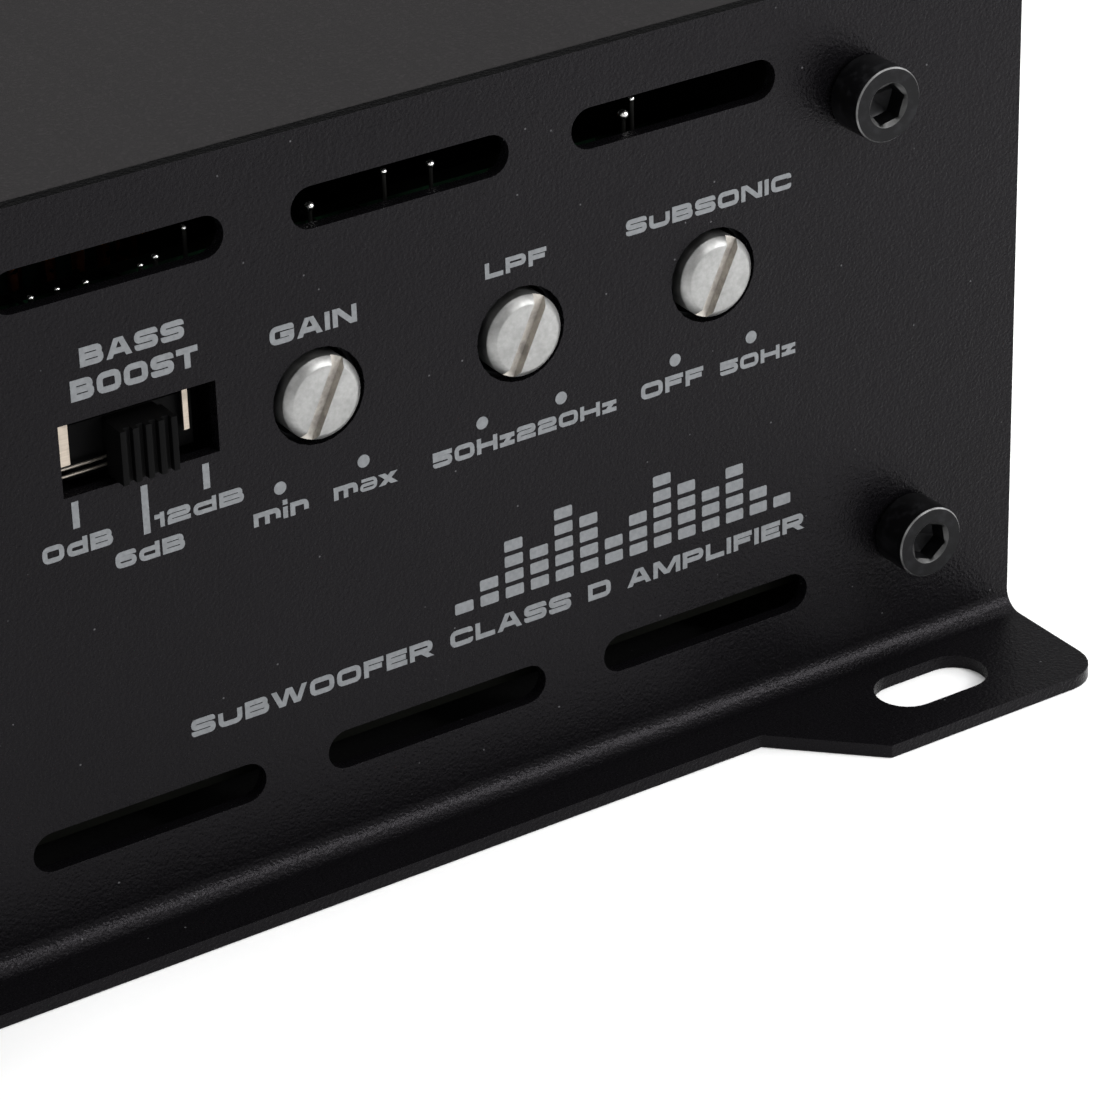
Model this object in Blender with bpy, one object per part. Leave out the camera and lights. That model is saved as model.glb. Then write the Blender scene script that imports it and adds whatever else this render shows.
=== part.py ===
"""Compact single-channel class D car amplifier, modelled as the separate pieces it is assembled from.

Frame: +X to the right along the control end, +Y from the control end to the terminal end, +Z up.
The origin is the middle of the footprint, on the surface that the four mounting tabs are screwed to.
"""

import bmesh
import bpy
from math import cos, pi, radians, sin

MM = 0.001
GAP = 0.3 * MM  # between two pieces that touch

# Case
PLATE_WIDTH = 146.5 * MM
PLATE_HEIGHT = 55.1 * MM
PLATE_SHEET = 1.0 * MM
CASE_LENGTH = 200.0 * MM  # outer face to outer face of the two end plates
BEND_RADIUS = 1.5 * MM
LIP_REACH = 4.8 * MM
TAB_REACH = 11.5 * MM
TAB_WIDTH = 19.6 * MM
TAB_CORNER = 2.8 * MM
TAB_SLOT_LENGTH = 9.3 * MM
TAB_SLOT_WIDTH = 4.9 * MM
TAB_SLOT_INSET = 11.65 * MM  # slot middle to the side of the plate
TAB_SLOT_REACH = 5.75 * MM  # slot middle to the plate's outer face

# Heatsink extrusion, which is also the top and both sides of the case
SIDE_REVEAL = 0.25 * MM  # how far the end plates stand out past each side
TOP_REVEAL = 0.2 * MM
ROOF_THICKNESS = 3.6 * MM
WALL_THICKNESS = 3.0 * MM
FIN_DEPTH = 6.0 * MM
FIN_THICKNESS = 2.4 * MM
FIN_COUNT = 8
LOWEST_FIN = 5.1 * MM
ROOF_CORNER = 2.0 * MM
BOSS_HALF_WIDTH = 4.0 * MM
CHANNEL_MOUTH = 0.8 * MM  # half the opening of a screw channel

# Bottom cover and its posts
COVER_SHEET = 1.5 * MM
COVER_BOTTOM = 1.0 * MM
COVER_INSET = 0.5 * MM
POST_HEIGHT = 5.0 * MM
POST_DIAMETER = 6.4 * MM
COVER_SCREW_INSET = 20.0 * MM  # from each end of the heatsink

# Screws
THREAD = 3.0 * MM
CAP_HEAD = 5.5 * MM
CAP_HEAD_HEIGHT = 3.0 * MM
CAP_SOCKET = 2.7 * MM  # across flats
CAP_SOCKET_DEPTH = 1.6 * MM
CAP_SHANK = 11.0 * MM
UPPER_SCREW_INSET = 14.25 * MM  # from the side of the plate
UPPER_SCREW_DROP = 8.6 * MM  # from the top of the plate
LOWER_SCREW_INSET = 9.95 * MM
LOWER_SCREW_Z = 10.95 * MM
COVER_SHANK = 5.2 * MM
PAN_HEAD_HEIGHT = 2.0 * MM
PAN_SHANK = 5.5 * MM

# Vents
VENT_COUNT = 5
VENT_HEIGHT = 3.0 * MM
VENT_RIB = 4.95 * MM  # metal left between two slots
UPPER_VENT_DROP = 5.7 * MM
UPPER_VENT_CLEAR = 7.25 * MM  # end of the row to the screw beside it
LOWER_VENT_Z = 8.6 * MM
LOWER_VENT_CLEAR = 8.8 * MM
REAR_VENT_SPACING = 8.4 * MM

# Controls on the front plate
CONTROL_Z = 35.9 * MM
POT_MIDDLE_X = 30.55 * MM
POT_PITCH = 15.87 * MM
POT_SHAFT = 6.0 * MM
POT_CLEARANCE = 0.5 * MM  # around each shaft in the plate
POT_PROUD = 0.85 * MM
POT_CHAMFER = 0.4 * MM
POT_SLOT_WIDTH = 1.0 * MM
POT_SLOT_DEPTH = 1.1 * MM
POT_SLOT_LEAN = 26.0  # degrees clockwise from upright, seen from the front
POT_BODY_WIDTH = 9.6 * MM
POT_BODY_HEIGHT = 11.0 * MM
POT_BODY_DEPTH = 6.6 * MM
POT_COLLAR_WALL = 1.2 * MM
BOARD_SETBACK = 12.0 * MM  # plate's inner face to the control board
SWITCH_X = 1.3 * MM
SWITCH_Z = 36.7 * MM
SWITCH_WINDOW = (11.5 * MM, 5.15 * MM)
SWITCH_OFFSET = (0.2 * MM, -0.5 * MM)  # middle of the switch from the middle of its window
SWITCH_TRAVEL = 1.5 * MM  # each way from the middle notch
SWITCH_FRAME = (15.6 * MM, 7.6 * MM, 7.0 * MM)
SWITCH_FRAME_WALL = 0.8 * MM
LEVER_WIDTH = 4.2 * MM
LEVER_HEIGHT = 3.9 * MM
LEVER_PROUD = 1.0 * MM
LEVER_RIBS = 5
RIB_DEPTH = 0.4 * MM
CARRIER_OVERLAP = 1.2 * MM  # how far the carrier reaches past each end of the lever's slot
CARRIER_THICKNESS = 2.0 * MM

# Signal connections and lamps on the front plate
JACK_BLOCK = (29.0 * MM, 15.0 * MM)
JACK_BLOCK_X = -31.0 * MM
JACK_PITCH = 14.0 * MM
JACK_FACE_PROUD = 1.0 * MM
JACK_SHELL = 8.3 * MM
JACK_SHELL_WALL = 0.6 * MM
JACK_SHELL_PROUD = 8.5 * MM
JACK_SHELL_SEAT = 3.0 * MM
JACK_CORE = 5.6 * MM
JACK_PIN_HOLE = 3.4 * MM
JACK_PIN_DEPTH = 8.0 * MM
PORT_X = -54.0 * MM
PORT_OUTER = (13.2 * MM, 11.0 * MM)
PORT_OPENING = (9.8 * MM, 6.8 * MM)
PORT_DEPTH = 9.0 * MM
PORT_FACE_PROUD = 0.5 * MM
LAMP_X = -12.3 * MM
LAMP_SPREAD = 3.6 * MM  # each lamp above or below the control line
LAMP = 3.0 * MM
LAMP_PROUD = 1.2 * MM
FLANGE_REACH = 1.5 * MM
FLANGE_THICKNESS = 2.0 * MM

# Boards
BOARD_THICKNESS = 1.6 * MM
BOARD_EDGE = 1.2 * MM  # from a board's edge to the heatsink's feet
BOARD_SCREW_INSET = (10.0 * MM, 36.0 * MM)
CONTROL_BOARD_EDGE = 3.0 * MM
CONTROL_BOARD_BOTTOM = 25.0 * MM
CONTROL_BOARD_TOP = 42.0 * MM
TONGUE_WIDTH = 20.0 * MM
TONGUE_X = 30.0 * MM

# Terminal end
POWER_WIRES = ("supply", "remote", "ground")
SPEAKER_WIRES = ("speaker_minus", "speaker_plus")
TERMINAL_PITCH = 15.0 * MM
TERMINAL_MARGIN = 1.5 * MM
TERMINAL_SPACING = 2.0 * MM
TERMINAL_HEIGHT = 18.5 * MM
TERMINAL_PROUD = 10.5 * MM
TERMINAL_INSIDE = 8.0 * MM
WIRE_Z = 8.5 * MM  # wire's middle above the underside of the terminal block
CONTACT = (11.0 * MM, 14.0 * MM, 12.4 * MM)
CONTACT_RECESS = 0.6 * MM
WIRE_BORE = 7.0 * MM
WIRE_BORE_DEPTH = 12.0 * MM
SET_SCREW = 4.8 * MM
SET_SCREW_LENGTH = 5.4 * MM
SET_SCREW_REACH = 6.5 * MM  # screw's axis to the outer face of the block
SET_SOCKET = 2.5 * MM
SET_SOCKET_DEPTH = 2.4 * MM
FUSE_HOLDER = (22.0 * MM, 22.0 * MM)
FUSE_HOLDER_PROUD = 3.0 * MM
FUSE_HOLDER_INSIDE = 11.0 * MM
FUSE_PITCH = 9.5 * MM
FUSE_BODY = (5.1 * MM, 19.1 * MM)
FUSE_BODY_DEPTH = 12.0 * MM
FUSE_SEAT_DEPTH = 5.0 * MM
FUSE_BLADE = (0.8 * MM, 5.2 * MM, 7.0 * MM)
FUSE_BLADE_SPREAD = 6.0 * MM

# Parts on the main board
TRANSFORMER = (44.0 * MM, 18.0 * MM, 22.0 * MM)  # outside, hole, height
TRANSFORMER_PLACE = (-18.0 * MM, 30.0 * MM)
INDUCTOR = (34.0 * MM, 14.0 * MM, 15.0 * MM)
INDUCTOR_PLACE = (26.0 * MM, -18.0 * MM)
CAPACITOR = (18.0 * MM, 30.0 * MM)  # diameter, height
CAPACITOR_PLACES = ((26.0 * MM, 36.0 * MM), (-26.0 * MM, -26.0 * MM))
TRANSISTOR = (4.4 * MM, 10.2 * MM, 15.6 * MM)
TRANSISTOR_Y = 8.0 * MM
TRANSISTOR_BOTTOM = 20.0 * MM
TRANSISTOR_SCREW_Z = 12.6 * MM  # above the underside of the transistor
WALL_THREAD_DEPTH = 2.0 * MM
LEG = 0.8 * MM
LEG_PITCH = 2.54 * MM
LEG_DROP = 2.0 * MM
LEG_INSET = 4.6 * MM

# Heights and distances that follow from the sizes above
HALF_LENGTH = CASE_LENGTH / 2
INNER_FACE = HALF_LENGTH - PLATE_SHEET - GAP
HEATSINK_WIDTH = PLATE_WIDTH - 2 * SIDE_REVEAL
HEATSINK_TOP = PLATE_HEIGHT - TOP_REVEAL
FIN_ROOT_X = HEATSINK_WIDTH / 2 - FIN_DEPTH
WALL_INNER_X = FIN_ROOT_X - WALL_THICKNESS
UPPER_SCREW = (PLATE_WIDTH / 2 - UPPER_SCREW_INSET, PLATE_HEIGHT - UPPER_SCREW_DROP)
LOWER_SCREW = (PLATE_WIDTH / 2 - LOWER_SCREW_INSET, LOWER_SCREW_Z)
FOOT_INNER_X = LOWER_SCREW[0] - BOSS_HALF_WIDTH
FOOT_TOP = LOWER_SCREW_Z + BOSS_HALF_WIDTH
ROOF_UNDERSIDE = HEATSINK_TOP - ROOF_THICKNESS
FIN_PITCH = (ROOF_UNDERSIDE - LOWEST_FIN) / FIN_COUNT
FOOT_BOTTOM = COVER_BOTTOM + COVER_SHEET + GAP
POST_TOP = COVER_BOTTOM + COVER_SHEET + POST_HEIGHT
BOARD_BOTTOM = POST_TOP + GAP
BOARD_TOP = BOARD_BOTTOM + BOARD_THICKNESS
SEAT_Z = BOARD_TOP + GAP
THREAD_HOLE = THREAD + 2 * GAP
CONTROL_BOARD_Y = -HALF_LENGTH + PLATE_SHEET + BOARD_SETBACK
MAIN_BOARD_WIDTH = 2 * (FOOT_INNER_X - BOARD_EDGE)
MAIN_BOARD_LENGTH = 2 * (INNER_FACE - BOARD_EDGE)
CONTROL_BOARD_WIDTH = 2 * (WALL_INNER_X - CONTROL_BOARD_EDGE)
POT_HOLE = POT_SHAFT + 2 * POT_CLEARANCE
POT_COLLAR = POT_SHAFT + 2 * GAP + 2 * POT_COLLAR_WALL
POT_XS = [POT_MIDDLE_X + step * POT_PITCH for step in (-1, 0, 1)]
WIRE_LEVEL = SEAT_Z + WIRE_Z
OVERCUT = 1.0 * MM  # how far a cutter runs past the material


# ---------------------------------------------------------------- outlines


def arc(x, y, radius, start, end, steps):
    """Points on an arc, with its angles in degrees and both ends included."""
    angles = [radians(start + (end - start) * step / steps) for step in range(steps + 1)]
    return [(x + radius * cos(angle), y + radius * sin(angle)) for angle in angles]


def circle(x, y, diameter, sides):
    return arc(x, y, diameter / 2, 0, 360, sides)[:-1]


def rectangle(x, y, width, height):
    w, h = width / 2, height / 2
    return [(x - w, y - h), (x + w, y - h), (x + w, y + h), (x - w, y + h)]


def obround(x, y, length, width, steps=12):
    """A slot outline with round ends, its length along the first axis."""
    reach = (length - width) / 2
    right = arc(x + reach, y, width / 2, -90, 90, steps)
    return right + arc(x - reach, y, width / 2, 90, 270, steps)


def hexagon(x, y, across_flats):
    return arc(x, y, across_flats / 2 / cos(pi / 6), 0, 360, 6)[:-1]


# ---------------------------------------------------------------- solids


def placed(first, second, along, axis):
    """A point from its two outline coordinates and its distance along the extrusion axis."""
    return {"X": (along, first, second), "Y": (first, along, second), "Z": (first, second, along)}[axis]


def add_prism(bm, outline, axis, start, end):
    """Extrudes a closed outline along an axis, from start to end, into the given bmesh."""
    corners = [bm.verts.new(placed(a, b, start, axis)) for a, b in outline]
    face = bm.faces.new(corners)
    grown = bmesh.ops.extrude_face_region(bm, geom=[face])["geom"]
    tops = [item for item in grown if isinstance(item, bmesh.types.BMVert)]
    bmesh.ops.translate(bm, verts=tops, vec=placed(0, 0, end - start, axis))
    # The first cap is left in place by the extrusion and closes the solid.
    bmesh.ops.recalc_face_normals(bm, faces=bm.faces)


def add_turned(bm, profile, sides):
    """Turns an open (radius, height) profile, which starts and ends on the axis, about local Z."""
    points = [bm.verts.new((radius, 0, height)) for radius, height in profile]
    edges = [bm.edges.new(pair) for pair in zip(points, points[1:])]
    bmesh.ops.spin(
        bm, geom=points + edges, cent=(0, 0, 0), axis=(0, 0, 1), angle=2 * pi, steps=sides, use_merge=True
    )
    bmesh.ops.remove_doubles(bm, verts=bm.verts, dist=0.001 * MM)
    bmesh.ops.recalc_face_normals(bm, faces=bm.faces)


def make(name, material, location=(0, 0, 0), prisms=(), profile=None, sides=24):
    """One object from prisms, each (outline, axis, start, end), or from a turned profile."""
    bm = bmesh.new()
    for outline, axis, start, end in prisms:
        add_prism(bm, outline, axis, start, end)
    if profile:
        add_turned(bm, profile, sides)
    mesh = bpy.data.meshes.new(name)
    bm.to_mesh(mesh)
    bm.free()
    mesh.materials.append(material)
    obj = bpy.data.objects.new(name, mesh)
    obj.location = location
    bpy.context.scene.collection.objects.link(obj)
    return obj


def combine(obj, operation, prisms=(), profile=None, sides=24):
    """Cuts shapes from the object or joins them to it. They are in the object's own frame."""
    helper = make("helper", obj.data.materials[0], obj.location, prisms, profile, sides)
    modifier = obj.modifiers.new(operation, "BOOLEAN")
    modifier.operation = operation
    modifier.object = helper
    modifier.solver = "EXACT"
    bpy.context.view_layer.update()
    shaped = bpy.data.meshes.new_from_object(obj.evaluated_get(bpy.context.evaluated_depsgraph_get()))
    before = obj.data
    obj.modifiers.clear()
    obj.data = shaped
    shaped.name = before.name
    bpy.data.meshes.remove(before)
    bpy.data.objects.remove(helper)


def cut(obj, prisms):
    combine(obj, "DIFFERENCE", prisms)


def join(obj, prisms=(), profile=None, sides=24):
    combine(obj, "UNION", prisms, profile, sides)


def smooth_round(obj, degrees=35):
    obj.data.shade_smooth()
    obj.data.set_sharp_from_angle(angle=radians(degrees))


def copy_of(obj, name, location, rotation=(0, 0, 0)):
    """Another object that shares the mesh of a repeated piece."""
    twin = bpy.data.objects.new(name, obj.data)
    twin.location = location
    twin.rotation_euler = rotation
    bpy.context.scene.collection.objects.link(twin)
    return twin


def finish(name, colour, roughness, metallic=0.0, alpha=1.0):
    material = bpy.data.materials.new(name)
    material.use_nodes = True
    shader = material.node_tree.nodes["Principled BSDF"]
    shader.inputs["Base Color"].default_value = (*colour, 1)
    shader.inputs["Roughness"].default_value = roughness
    shader.inputs["Metallic"].default_value = metallic
    shader.inputs["Alpha"].default_value = alpha
    material.diffuse_color = (*colour, 1)
    return material


# ---------------------------------------------------------------- case


def heatsink_half():
    """Right half of the extrusion's section, from the roof's corner round to the middle of its underside."""
    half_width = HEATSINK_WIDTH / 2
    points = arc(half_width - ROOF_CORNER, HEATSINK_TOP - ROOF_CORNER, ROOF_CORNER, 90, 0, 4)
    for index in range(FIN_COUNT):
        top = ROOF_UNDERSIDE - index * FIN_PITCH
        bottom = top - (FIN_PITCH - FIN_THICKNESS)
        points += [(half_width, top), (FIN_ROOT_X, top), (FIN_ROOT_X, bottom), (half_width, bottom)]
    points += [(half_width, FOOT_BOTTOM), (FOOT_INNER_X, FOOT_BOTTOM)]

    channel = THREAD_HOLE / 2
    lower_x, lower_z = LOWER_SCREW
    points.append((FOOT_INNER_X, lower_z - CHANNEL_MOUTH))
    points += arc(lower_x, lower_z, channel, 206, 514, 12)
    points += [(FOOT_INNER_X, lower_z + CHANNEL_MOUTH), (FOOT_INNER_X, FOOT_TOP), (WALL_INNER_X, FOOT_TOP)]

    upper_x, upper_z = UPPER_SCREW
    boss_bottom = upper_z - BOSS_HALF_WIDTH
    points += [
        (WALL_INNER_X, ROOF_UNDERSIDE),
        (upper_x + BOSS_HALF_WIDTH, ROOF_UNDERSIDE),
        (upper_x + BOSS_HALF_WIDTH, boss_bottom),
        (upper_x + CHANNEL_MOUTH, boss_bottom),
    ]
    points += arc(upper_x, upper_z, channel, -64, 244, 12)
    points += [
        (upper_x - CHANNEL_MOUTH, boss_bottom),
        (upper_x - BOSS_HALF_WIDTH, boss_bottom),
        (upper_x - BOSS_HALF_WIDTH, ROOF_UNDERSIDE),
    ]
    return points


def build_heatsink(materials):
    right = heatsink_half()
    left = [(-x, z) for x, z in reversed(right)]
    heatsink = make("heatsink", materials["heatsink"], prisms=[(right + left, "Y", -INNER_FACE, INNER_FACE)])
    screw_holes = [
        (circle(x, y, THREAD_HOLE, 12), "Z", FOOT_BOTTOM - OVERCUT, FOOT_BOTTOM + COVER_SHANK)
        for x, y in cover_screw_places()
    ]
    wall_hole = circle(TRANSISTOR_Y, TRANSISTOR_BOTTOM + TRANSISTOR_SCREW_Z, THREAD_HOLE, 12)
    hole_end = WALL_INNER_X + WALL_THREAD_DEPTH
    wall_holes = [
        (wall_hole, "X", WALL_INNER_X - OVERCUT, hole_end),
        (wall_hole, "X", -hole_end, -WALL_INNER_X + OVERCUT),
    ]
    cut(heatsink, screw_holes + wall_holes)
    smooth_round(heatsink)


def end_plate_section():
    """Side view of an end plate, as (y, z): the upright face, the bend and the foot."""
    outer = arc(-BEND_RADIUS, PLATE_SHEET + BEND_RADIUS, BEND_RADIUS + PLATE_SHEET, 0, -90, 8)
    inner = arc(-BEND_RADIUS, PLATE_SHEET + BEND_RADIUS, BEND_RADIUS, -90, 0, 8)
    foot = [(-TAB_REACH, 0), (-TAB_REACH, PLATE_SHEET)]
    return [(PLATE_SHEET, PLATE_HEIGHT), *outer, *foot, *inner, (0, PLATE_HEIGHT)]


def vent_cuts(row_end, height):
    """A row of slots that share the plate's width up to row_end on each side."""
    length = (2 * row_end - (VENT_COUNT - 1) * VENT_RIB) / VENT_COUNT
    middle = (VENT_COUNT - 1) / 2
    pitch = length + VENT_RIB
    return [obround((index - middle) * pitch, height, length, VENT_HEIGHT) for index in range(VENT_COUNT)]


def upper_vents(drop):
    return vent_cuts(UPPER_SCREW[0] - UPPER_VENT_CLEAR, PLATE_HEIGHT - drop)


def screw_places():
    """The four end plate screws, as (name, x, z)."""
    return [
        (f"{level}_{side}", sign * x, z)
        for level, (x, z) in (("upper", UPPER_SCREW), ("lower", LOWER_SCREW))
        for side, sign in (("left", -1), ("right", 1))
    ]


def build_end_plate(name, material, face_openings, turned_round):
    """An end plate in its own frame, with y = 0 at its outer face and +y into the case."""
    plate = make(name, material, prisms=[(end_plate_section(), "X", -PLATE_WIDTH / 2, PLATE_WIDTH / 2)])
    half = PLATE_WIDTH / 2
    chamfer = TAB_REACH - LIP_REACH
    tab_inner = half - TAB_WIDTH
    lip_cut = [
        (-tab_inner - OVERCUT, -TAB_REACH - OVERCUT),
        (tab_inner + OVERCUT, -TAB_REACH - OVERCUT),
        (tab_inner - chamfer, -LIP_REACH),
        (-tab_inner + chamfer, -LIP_REACH),
    ]
    foot_cuts = [lip_cut]
    for sign in (-1, 1):
        slot_x = sign * (half - TAB_SLOT_INSET)
        foot_cuts.append(obround(slot_x, -TAB_SLOT_REACH, TAB_SLOT_LENGTH, TAB_SLOT_WIDTH, 14))
        corner = arc(half - TAB_CORNER, -TAB_REACH + TAB_CORNER, TAB_CORNER, 0, -90, 6)
        outside = [
            (half - TAB_CORNER, -TAB_REACH - OVERCUT),
            (half + OVERCUT, -TAB_REACH - OVERCUT),
            (half + OVERCUT, -TAB_REACH + TAB_CORNER),
        ]
        foot_cuts.append([(sign * x, y) for x, y in corner + outside])
    face_cuts = list(face_openings)
    face_cuts += [circle(x, z, THREAD_HOLE, 12) for _, x, z in screw_places()]
    through = [(outline, "Y", -OVERCUT, PLATE_SHEET + OVERCUT) for outline in face_cuts]
    downward = [(outline, "Z", -OVERCUT, PLATE_SHEET + OVERCUT) for outline in foot_cuts]
    cut(plate, through + downward)
    plate.location = (0, HALF_LENGTH if turned_round else -HALF_LENGTH, 0)
    plate.rotation_euler = (0, 0, pi if turned_round else 0)
    smooth_round(plate)


def build_front_plate(materials):
    clear = 2 * GAP
    openings = upper_vents(UPPER_VENT_DROP) + vent_cuts(LOWER_SCREW[0] - LOWER_VENT_CLEAR, LOWER_VENT_Z)
    openings += [circle(x, CONTROL_Z, POT_HOLE, 24) for x in POT_XS]
    openings.append(rectangle(SWITCH_X, SWITCH_Z, *SWITCH_WINDOW))
    openings.append(rectangle(JACK_BLOCK_X, CONTROL_Z, JACK_BLOCK[0] + clear, JACK_BLOCK[1] + clear))
    openings.append(rectangle(PORT_X, CONTROL_Z, PORT_OUTER[0] + clear, PORT_OUTER[1] + clear))
    openings += [circle(LAMP_X, z, LAMP + clear, 16) for z in lamp_heights()]
    build_end_plate("front_plate", materials["plate"], openings, turned_round=False)


def build_rear_plate(materials):
    clear = 2 * GAP
    openings = upper_vents(UPPER_VENT_DROP) + upper_vents(UPPER_VENT_DROP + REAR_VENT_SPACING)
    for x, (width, height) in terminal_row():
        openings.append(rectangle(-x, SEAT_Z + height / 2, width + clear, height + clear))
    build_end_plate("rear_plate", materials["plate"], openings, turned_round=True)


def cover_screw_places():
    y = INNER_FACE - COVER_SCREW_INSET
    return [(sign * LOWER_SCREW[0], end * y) for sign in (-1, 1) for end in (-1, 1)]


def board_screw_places():
    x = MAIN_BOARD_WIDTH / 2 - BOARD_SCREW_INSET[0]
    y = MAIN_BOARD_LENGTH / 2 - BOARD_SCREW_INSET[1]
    return [(sign * x, end * y) for sign in (-1, 1) for end in (-1, 1)]


def build_bottom_cover(materials):
    top = COVER_BOTTOM + COVER_SHEET
    sheet = rectangle(0, 0, HEATSINK_WIDTH - 2 * COVER_INSET, 2 * INNER_FACE)
    cover = make("bottom_cover", materials["cover"], prisms=[(sheet, "Z", COVER_BOTTOM, top)])
    overlap = COVER_SHEET / 2
    places = board_screw_places()
    join(cover, [(circle(x, y, POST_DIAMETER, 16), "Z", top - overlap, POST_TOP) for x, y in places])
    cut(cover, [(circle(x, y, THREAD_HOLE, 12), "Z", top - overlap, POST_TOP + OVERCUT) for x, y in places])
    # A countersunk hole is the head's own cone, larger by the gap.
    for x, y in cover_screw_places():
        cone = countersunk_profile(GAP, OVERCUT)
        drill = [(radius, height + COVER_BOTTOM) for radius, height in cone]
        combine_at(cover, "DIFFERENCE", drill, (x, y))
    smooth_round(cover)


def combine_at(obj, operation, profile, place):
    """Cuts or joins a turned shape whose axis stands at the given x and y of the object's frame."""
    x, y = place
    home = obj.location.copy()
    for vertex in obj.data.vertices:
        vertex.co.x -= x
        vertex.co.y -= y
    combine(obj, operation, profile=profile, sides=16)
    for vertex in obj.data.vertices:
        vertex.co.x += x
        vertex.co.y += y
    obj.location = home


# ---------------------------------------------------------------- screws


def countersunk_profile(grow, past):
    """A flat-headed screw's profile, head down, made larger by grow and longer by past for its hole."""
    head = CAP_HEAD / 2 + grow
    shank = THREAD / 2 + grow
    cone = head - shank
    end = COVER_SHANK + past
    return [(0, -past), (head, -past), (head, 0), (shank, cone), (shank, end), (0, end)]


def build_screws(materials):
    head, shank = CAP_HEAD / 2, THREAD / 2
    rim = 0.25 * MM
    profile = [
        (0, -CAP_SHANK),
        (shank - rim, -CAP_SHANK),
        (shank, -CAP_SHANK + rim),
        (shank, 0),
        (head, 0),
        (head, CAP_HEAD_HEIGHT - rim),
        (head - rim, CAP_HEAD_HEIGHT),
        (0, CAP_HEAD_HEIGHT),
    ]
    pattern = make("cap_screw_pattern", materials["screw"], profile=profile, sides=16)
    socket = hexagon(0, 0, CAP_SOCKET)
    cut(pattern, [(socket, "Z", CAP_HEAD_HEIGHT - CAP_SOCKET_DEPTH, CAP_HEAD_HEIGHT + OVERCUT)])
    smooth_round(pattern)
    reach = HALF_LENGTH + GAP
    for place, x, z in screw_places():
        copy_of(pattern, f"front_screw_{place}", (x, -reach, z), (pi / 2, 0, 0))
        copy_of(pattern, f"rear_screw_{place}", (x, reach, z), (-pi / 2, 0, 0))
    bpy.data.objects.remove(pattern)

    pattern = make("cover_screw_pattern", materials["screw"], profile=countersunk_profile(0, 0), sides=16)
    cut(pattern, [(hexagon(0, 0, 2.0 * MM), "Z", -OVERCUT, 1.0 * MM)])
    smooth_round(pattern)
    for index, (x, y) in enumerate(cover_screw_places(), 1):
        copy_of(pattern, f"cover_screw_{index}", (x, y, COVER_BOTTOM + GAP))
    bpy.data.objects.remove(pattern)

    pan = [
        (0, -PAN_SHANK),
        (shank, -PAN_SHANK),
        (shank, 0),
        (head, 0),
        (head, PAN_HEAD_HEIGHT * 0.6),
        (head * 0.7, PAN_HEAD_HEIGHT),
        (0, PAN_HEAD_HEIGHT),
    ]
    pattern = make("pan_screw_pattern", materials["bright_screw"], profile=pan, sides=12)
    smooth_round(pattern)
    for index, (x, y) in enumerate(board_screw_places(), 1):
        copy_of(pattern, f"board_screw_{index}", (x, y, SEAT_Z))
    height = TRANSISTOR_BOTTOM + TRANSISTOR_SCREW_Z
    seat = WALL_INNER_X - TRANSISTOR[0] - 2 * GAP
    copy_of(pattern, "transistor_screw_left", (-seat, TRANSISTOR_Y, height), (0, pi / 2, 0))
    copy_of(pattern, "transistor_screw_right", (seat, TRANSISTOR_Y, height), (0, -pi / 2, 0))
    bpy.data.objects.remove(pattern)


# ---------------------------------------------------------------- controls


def build_pots(materials):
    collar_depth = BOARD_SETBACK - GAP - POT_BODY_DEPTH - GAP
    bore = POT_SHAFT + 2 * GAP
    board_face = CONTROL_BOARD_Y - GAP
    body_front = board_face - POT_BODY_DEPTH
    shaft_end = board_face - 2.0 * MM
    for name, x in zip(("gain", "lowpass", "subsonic"), POT_XS):
        middle = (x, 0, CONTROL_Z)
        face = -HALF_LENGTH - POT_PROUD
        body = make(
            f"{name}_pot_body",
            materials["pot_body"],
            middle,
            [(rectangle(0, 0, POT_BODY_WIDTH, POT_BODY_HEIGHT), "Y", body_front, board_face)],
        )
        overlap = 1.0 * MM
        join(body, [(circle(0, 0, POT_COLLAR, 20), "Y", body_front - collar_depth, body_front + overlap)])
        cut(body, [(circle(0, 0, bore, 20), "Y", body_front - collar_depth - OVERCUT, shaft_end + GAP)])
        smooth_round(body)

        radius = POT_SHAFT / 2
        profile = [
            (0, 0),
            (radius - POT_CHAMFER, 0),
            (radius, POT_CHAMFER),
            (radius, shaft_end - face),
            (0, shaft_end - face),
        ]
        shaft = make(f"{name}_pot_shaft", materials["shaft"], (x, face, CONTROL_Z), profile=profile)
        slot = rectangle(0, 0, POT_SLOT_WIDTH, POT_SHAFT + 2 * OVERCUT)
        cut(shaft, [(slot, "Z", -OVERCUT, POT_SLOT_DEPTH)])
        # The shaft is turned about Z, so it is laid along +Y and its slot leant to its setting.
        shaft.rotation_euler = (-pi / 2, radians(POT_SLOT_LEAN), 0)
        smooth_round(shaft)


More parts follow.
